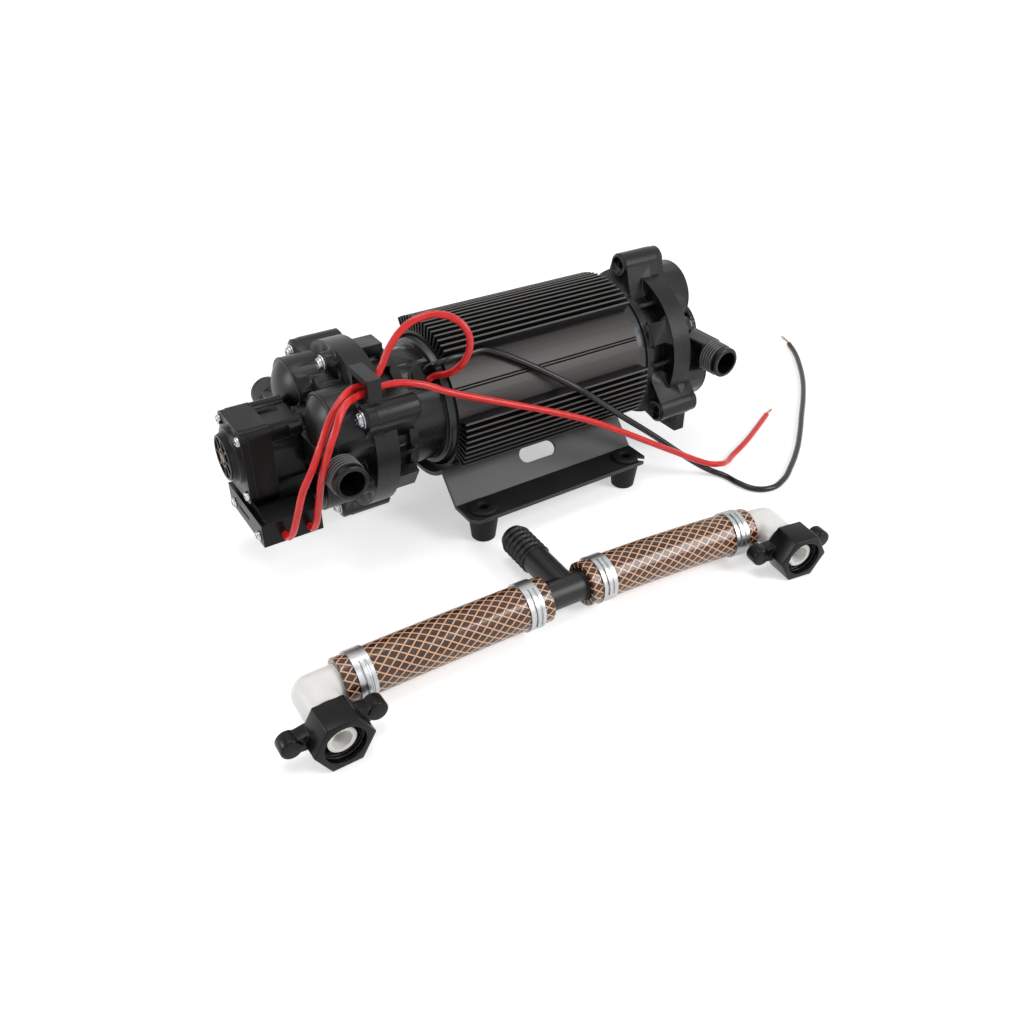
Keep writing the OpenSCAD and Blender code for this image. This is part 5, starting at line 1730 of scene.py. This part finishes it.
@dataclass
class PressureSwitch:
    """Switch block, its lid, the box below and their screws."""

    cover_x: float = -184.0
    screw_x: float = -182.0
    screw_y: float = 14.9
    screw_z: float = 17.4
    screw_drop: float = 1.75
    box_face_x: float = -183.0
    box_screw_y: tuple[float, ...] = (-27, 12)
    box_screw_z: float = -38.5
    screw_spin: float = 23
    rose_r: float = 13.2
    rose_ring: float = 1.5
    rose_high: float = 0.9
    rose_ribs: int = 8
    rib_mid: float = 8.6
    rib_w: float = 1.3
    rib_sunk: float = 0.2
    hub_r: float = 5.6
    hub_bore: float = 4.2
    # The lid's disc stands this far out from the lid
    disc_out: float = 3.4
    round_mm: float = 0.25

    def rose(self) -> None:
        """Raises two rings and the ribs between them on the lid's disc."""
        outer = Workpiece("switch_cover_rose").cylinder(self.rose_r, self.rose_high)
        outer.cut_away(Workpiece("hole").cylinder(self.rose_r - self.rose_ring, 4))
        outer.round_edges(self.round_mm, 2)
        hub = Workpiece("hub").cylinder(self.hub_r, self.rose_high)
        hub.cut_away(Workpiece("hole").cylinder(self.hub_bore, 4))
        parts = [hub.round_edges(self.round_mm, 2)]
        size = (self.rose_r - self.hub_r, self.rib_w, self.rose_high - self.rib_sunk)
        for k in range(self.rose_ribs):
            turn = 360 * k / self.rose_ribs
            at = (self.rib_mid * math.cos(math.radians(turn)),
                  self.rib_mid * math.sin(math.radians(turn)), -self.rib_sunk / 2)
            rib = Workpiece("rib").block(size, at, (0, 0, turn))
            parts.append(rib.settle().round_edges(self.round_mm, 2))
        outer.weld(*parts).smooth(40).paint(SWITCH_LID)
        outer.put(moved(self.cover_x - self.disc_out - self.rose_high / 2 + 0.02, 0, AXIS_H)
                  @ turned(y=-90))
        outer.hand_in("pump")

    def build(self) -> None:
        """Dresses the block and puts in its screws."""
        for node, finish in (("switch_body", SWITCH), ("switch_cover", SWITCH_LID),
                             ("switch_box", SWITCH), ("switch_box_plate", SWITCH_LID)):
            SmoothedShell(node, "pump", finish).build()
        SmoothedShell("adjusting_screw", "adjuster", BRASS).build()
        pattern = Screw(3.1, 2.0, 1.6).build(3.9)
        spots = [(self.screw_x, y * self.screw_y, AXIS_H + z * self.screw_z - self.screw_drop)
                 for y in (-1, 1) for z in (-1, 1)]
        spots += [(self.box_face_x, y, AXIS_H + self.box_screw_z) for y in self.box_screw_y]
        for k, spot in enumerate(spots):
            screw = pattern.twin(f"switch_screw_{k + 1}").paint(ZINC)
            screw.put(moved(*spot) @ turned(y=90) @ turned(z=self.screw_spin * k))
            screw.hand_in("pump", "switch_screws")
        bpy.data.objects.remove(pattern.obj)
        self.rose()
        dress(["switch_spring"], GROUND)
        dress(["switch_plunger"], WHITE)
        dress(["microswitch"], SWITCH)


@dataclass
class Motor:
    """Sleeve, can, barrel and bracket."""

    # Smoothing angles, in degrees: fins, one folded sheet, and feet turned in few steps
    sleeve_angle: float = 25
    bracket_angle: float = 12
    feet_angle: float = 45

    def build(self) -> None:
        """Dresses the motor's outside."""
        SmoothedShell("heat_sink_sleeve", "pump", SLEEVE, self.sleeve_angle).build()
        SmoothedShell("motor_can", "pump", CAN).build()
        SmoothedShell("brush_housing", "pump", BARREL).build()
        SmoothedShell("base_bracket", "pump", SHEET, self.bracket_angle).build()
        SmoothedShell("rubber_feet", "pump", RUBBER, self.feet_angle).build()
        dress(["wire_grommet"], RUBBER)
        dress(["bracket_screws"], ZINC)


@dataclass
class HiddenParts:
    """What the housings cover."""

    def build(self) -> None:
        """Dresses the parts inside the motor and the heads."""
        dress(["drive_end_plate"], CAN)
        dress(["shaft_bearings", "motor_shaft", "left_cam_bearing", "right_cam_bearing"], GROUND)
        dress(["magnets"], FERRITE)
        dress(["brush_card"], CARD)
        dress(["brushes"], CARBON)
        dress(["brush_springs"], GROUND)
        dress(["armature_core"], CORE)
        dress(["armature_windings", "commutator"], COPPER)
        for side in Side:
            inner = side.value + "_"
            dress([inner + "cam_hub", inner + "wobble_plate"], CAST)
            dress([inner + "pistons", inner + "valve_plate"], WHITE)
            dress([inner + "diaphragm", inner + "check_valves"], MOULDED_RUBBER)


def main() -> None:
    """Builds the studio, the cords and then each sub-assembly."""
    logging.basicConfig(level=logging.INFO, format="%(name)s: %(message)s")
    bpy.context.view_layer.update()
    Studio().build()
    Wiring().build()
    Manifold().build()
    head_screw = Screw(head_r=4.2, head_h=2.4, shank_r=2.2, washer_r=5.2)
    long_screw = head_screw.build(26)
    short_screw = head_screw.build(25)
    PumpHead(Side.LEFT, -92, -1).build(long_screw, short_screw)
    PumpHead(Side.RIGHT, 85, 1).build(long_screw, short_screw)
    for pattern in (long_screw, short_screw):
        bpy.data.objects.remove(pattern.obj)
    SmoothedShell("right_end_cap", "pump", HOUSING).build()
    PressureSwitch().build()
    Motor().build()
    HiddenParts().build()


if __name__ == "__main__":
    main()
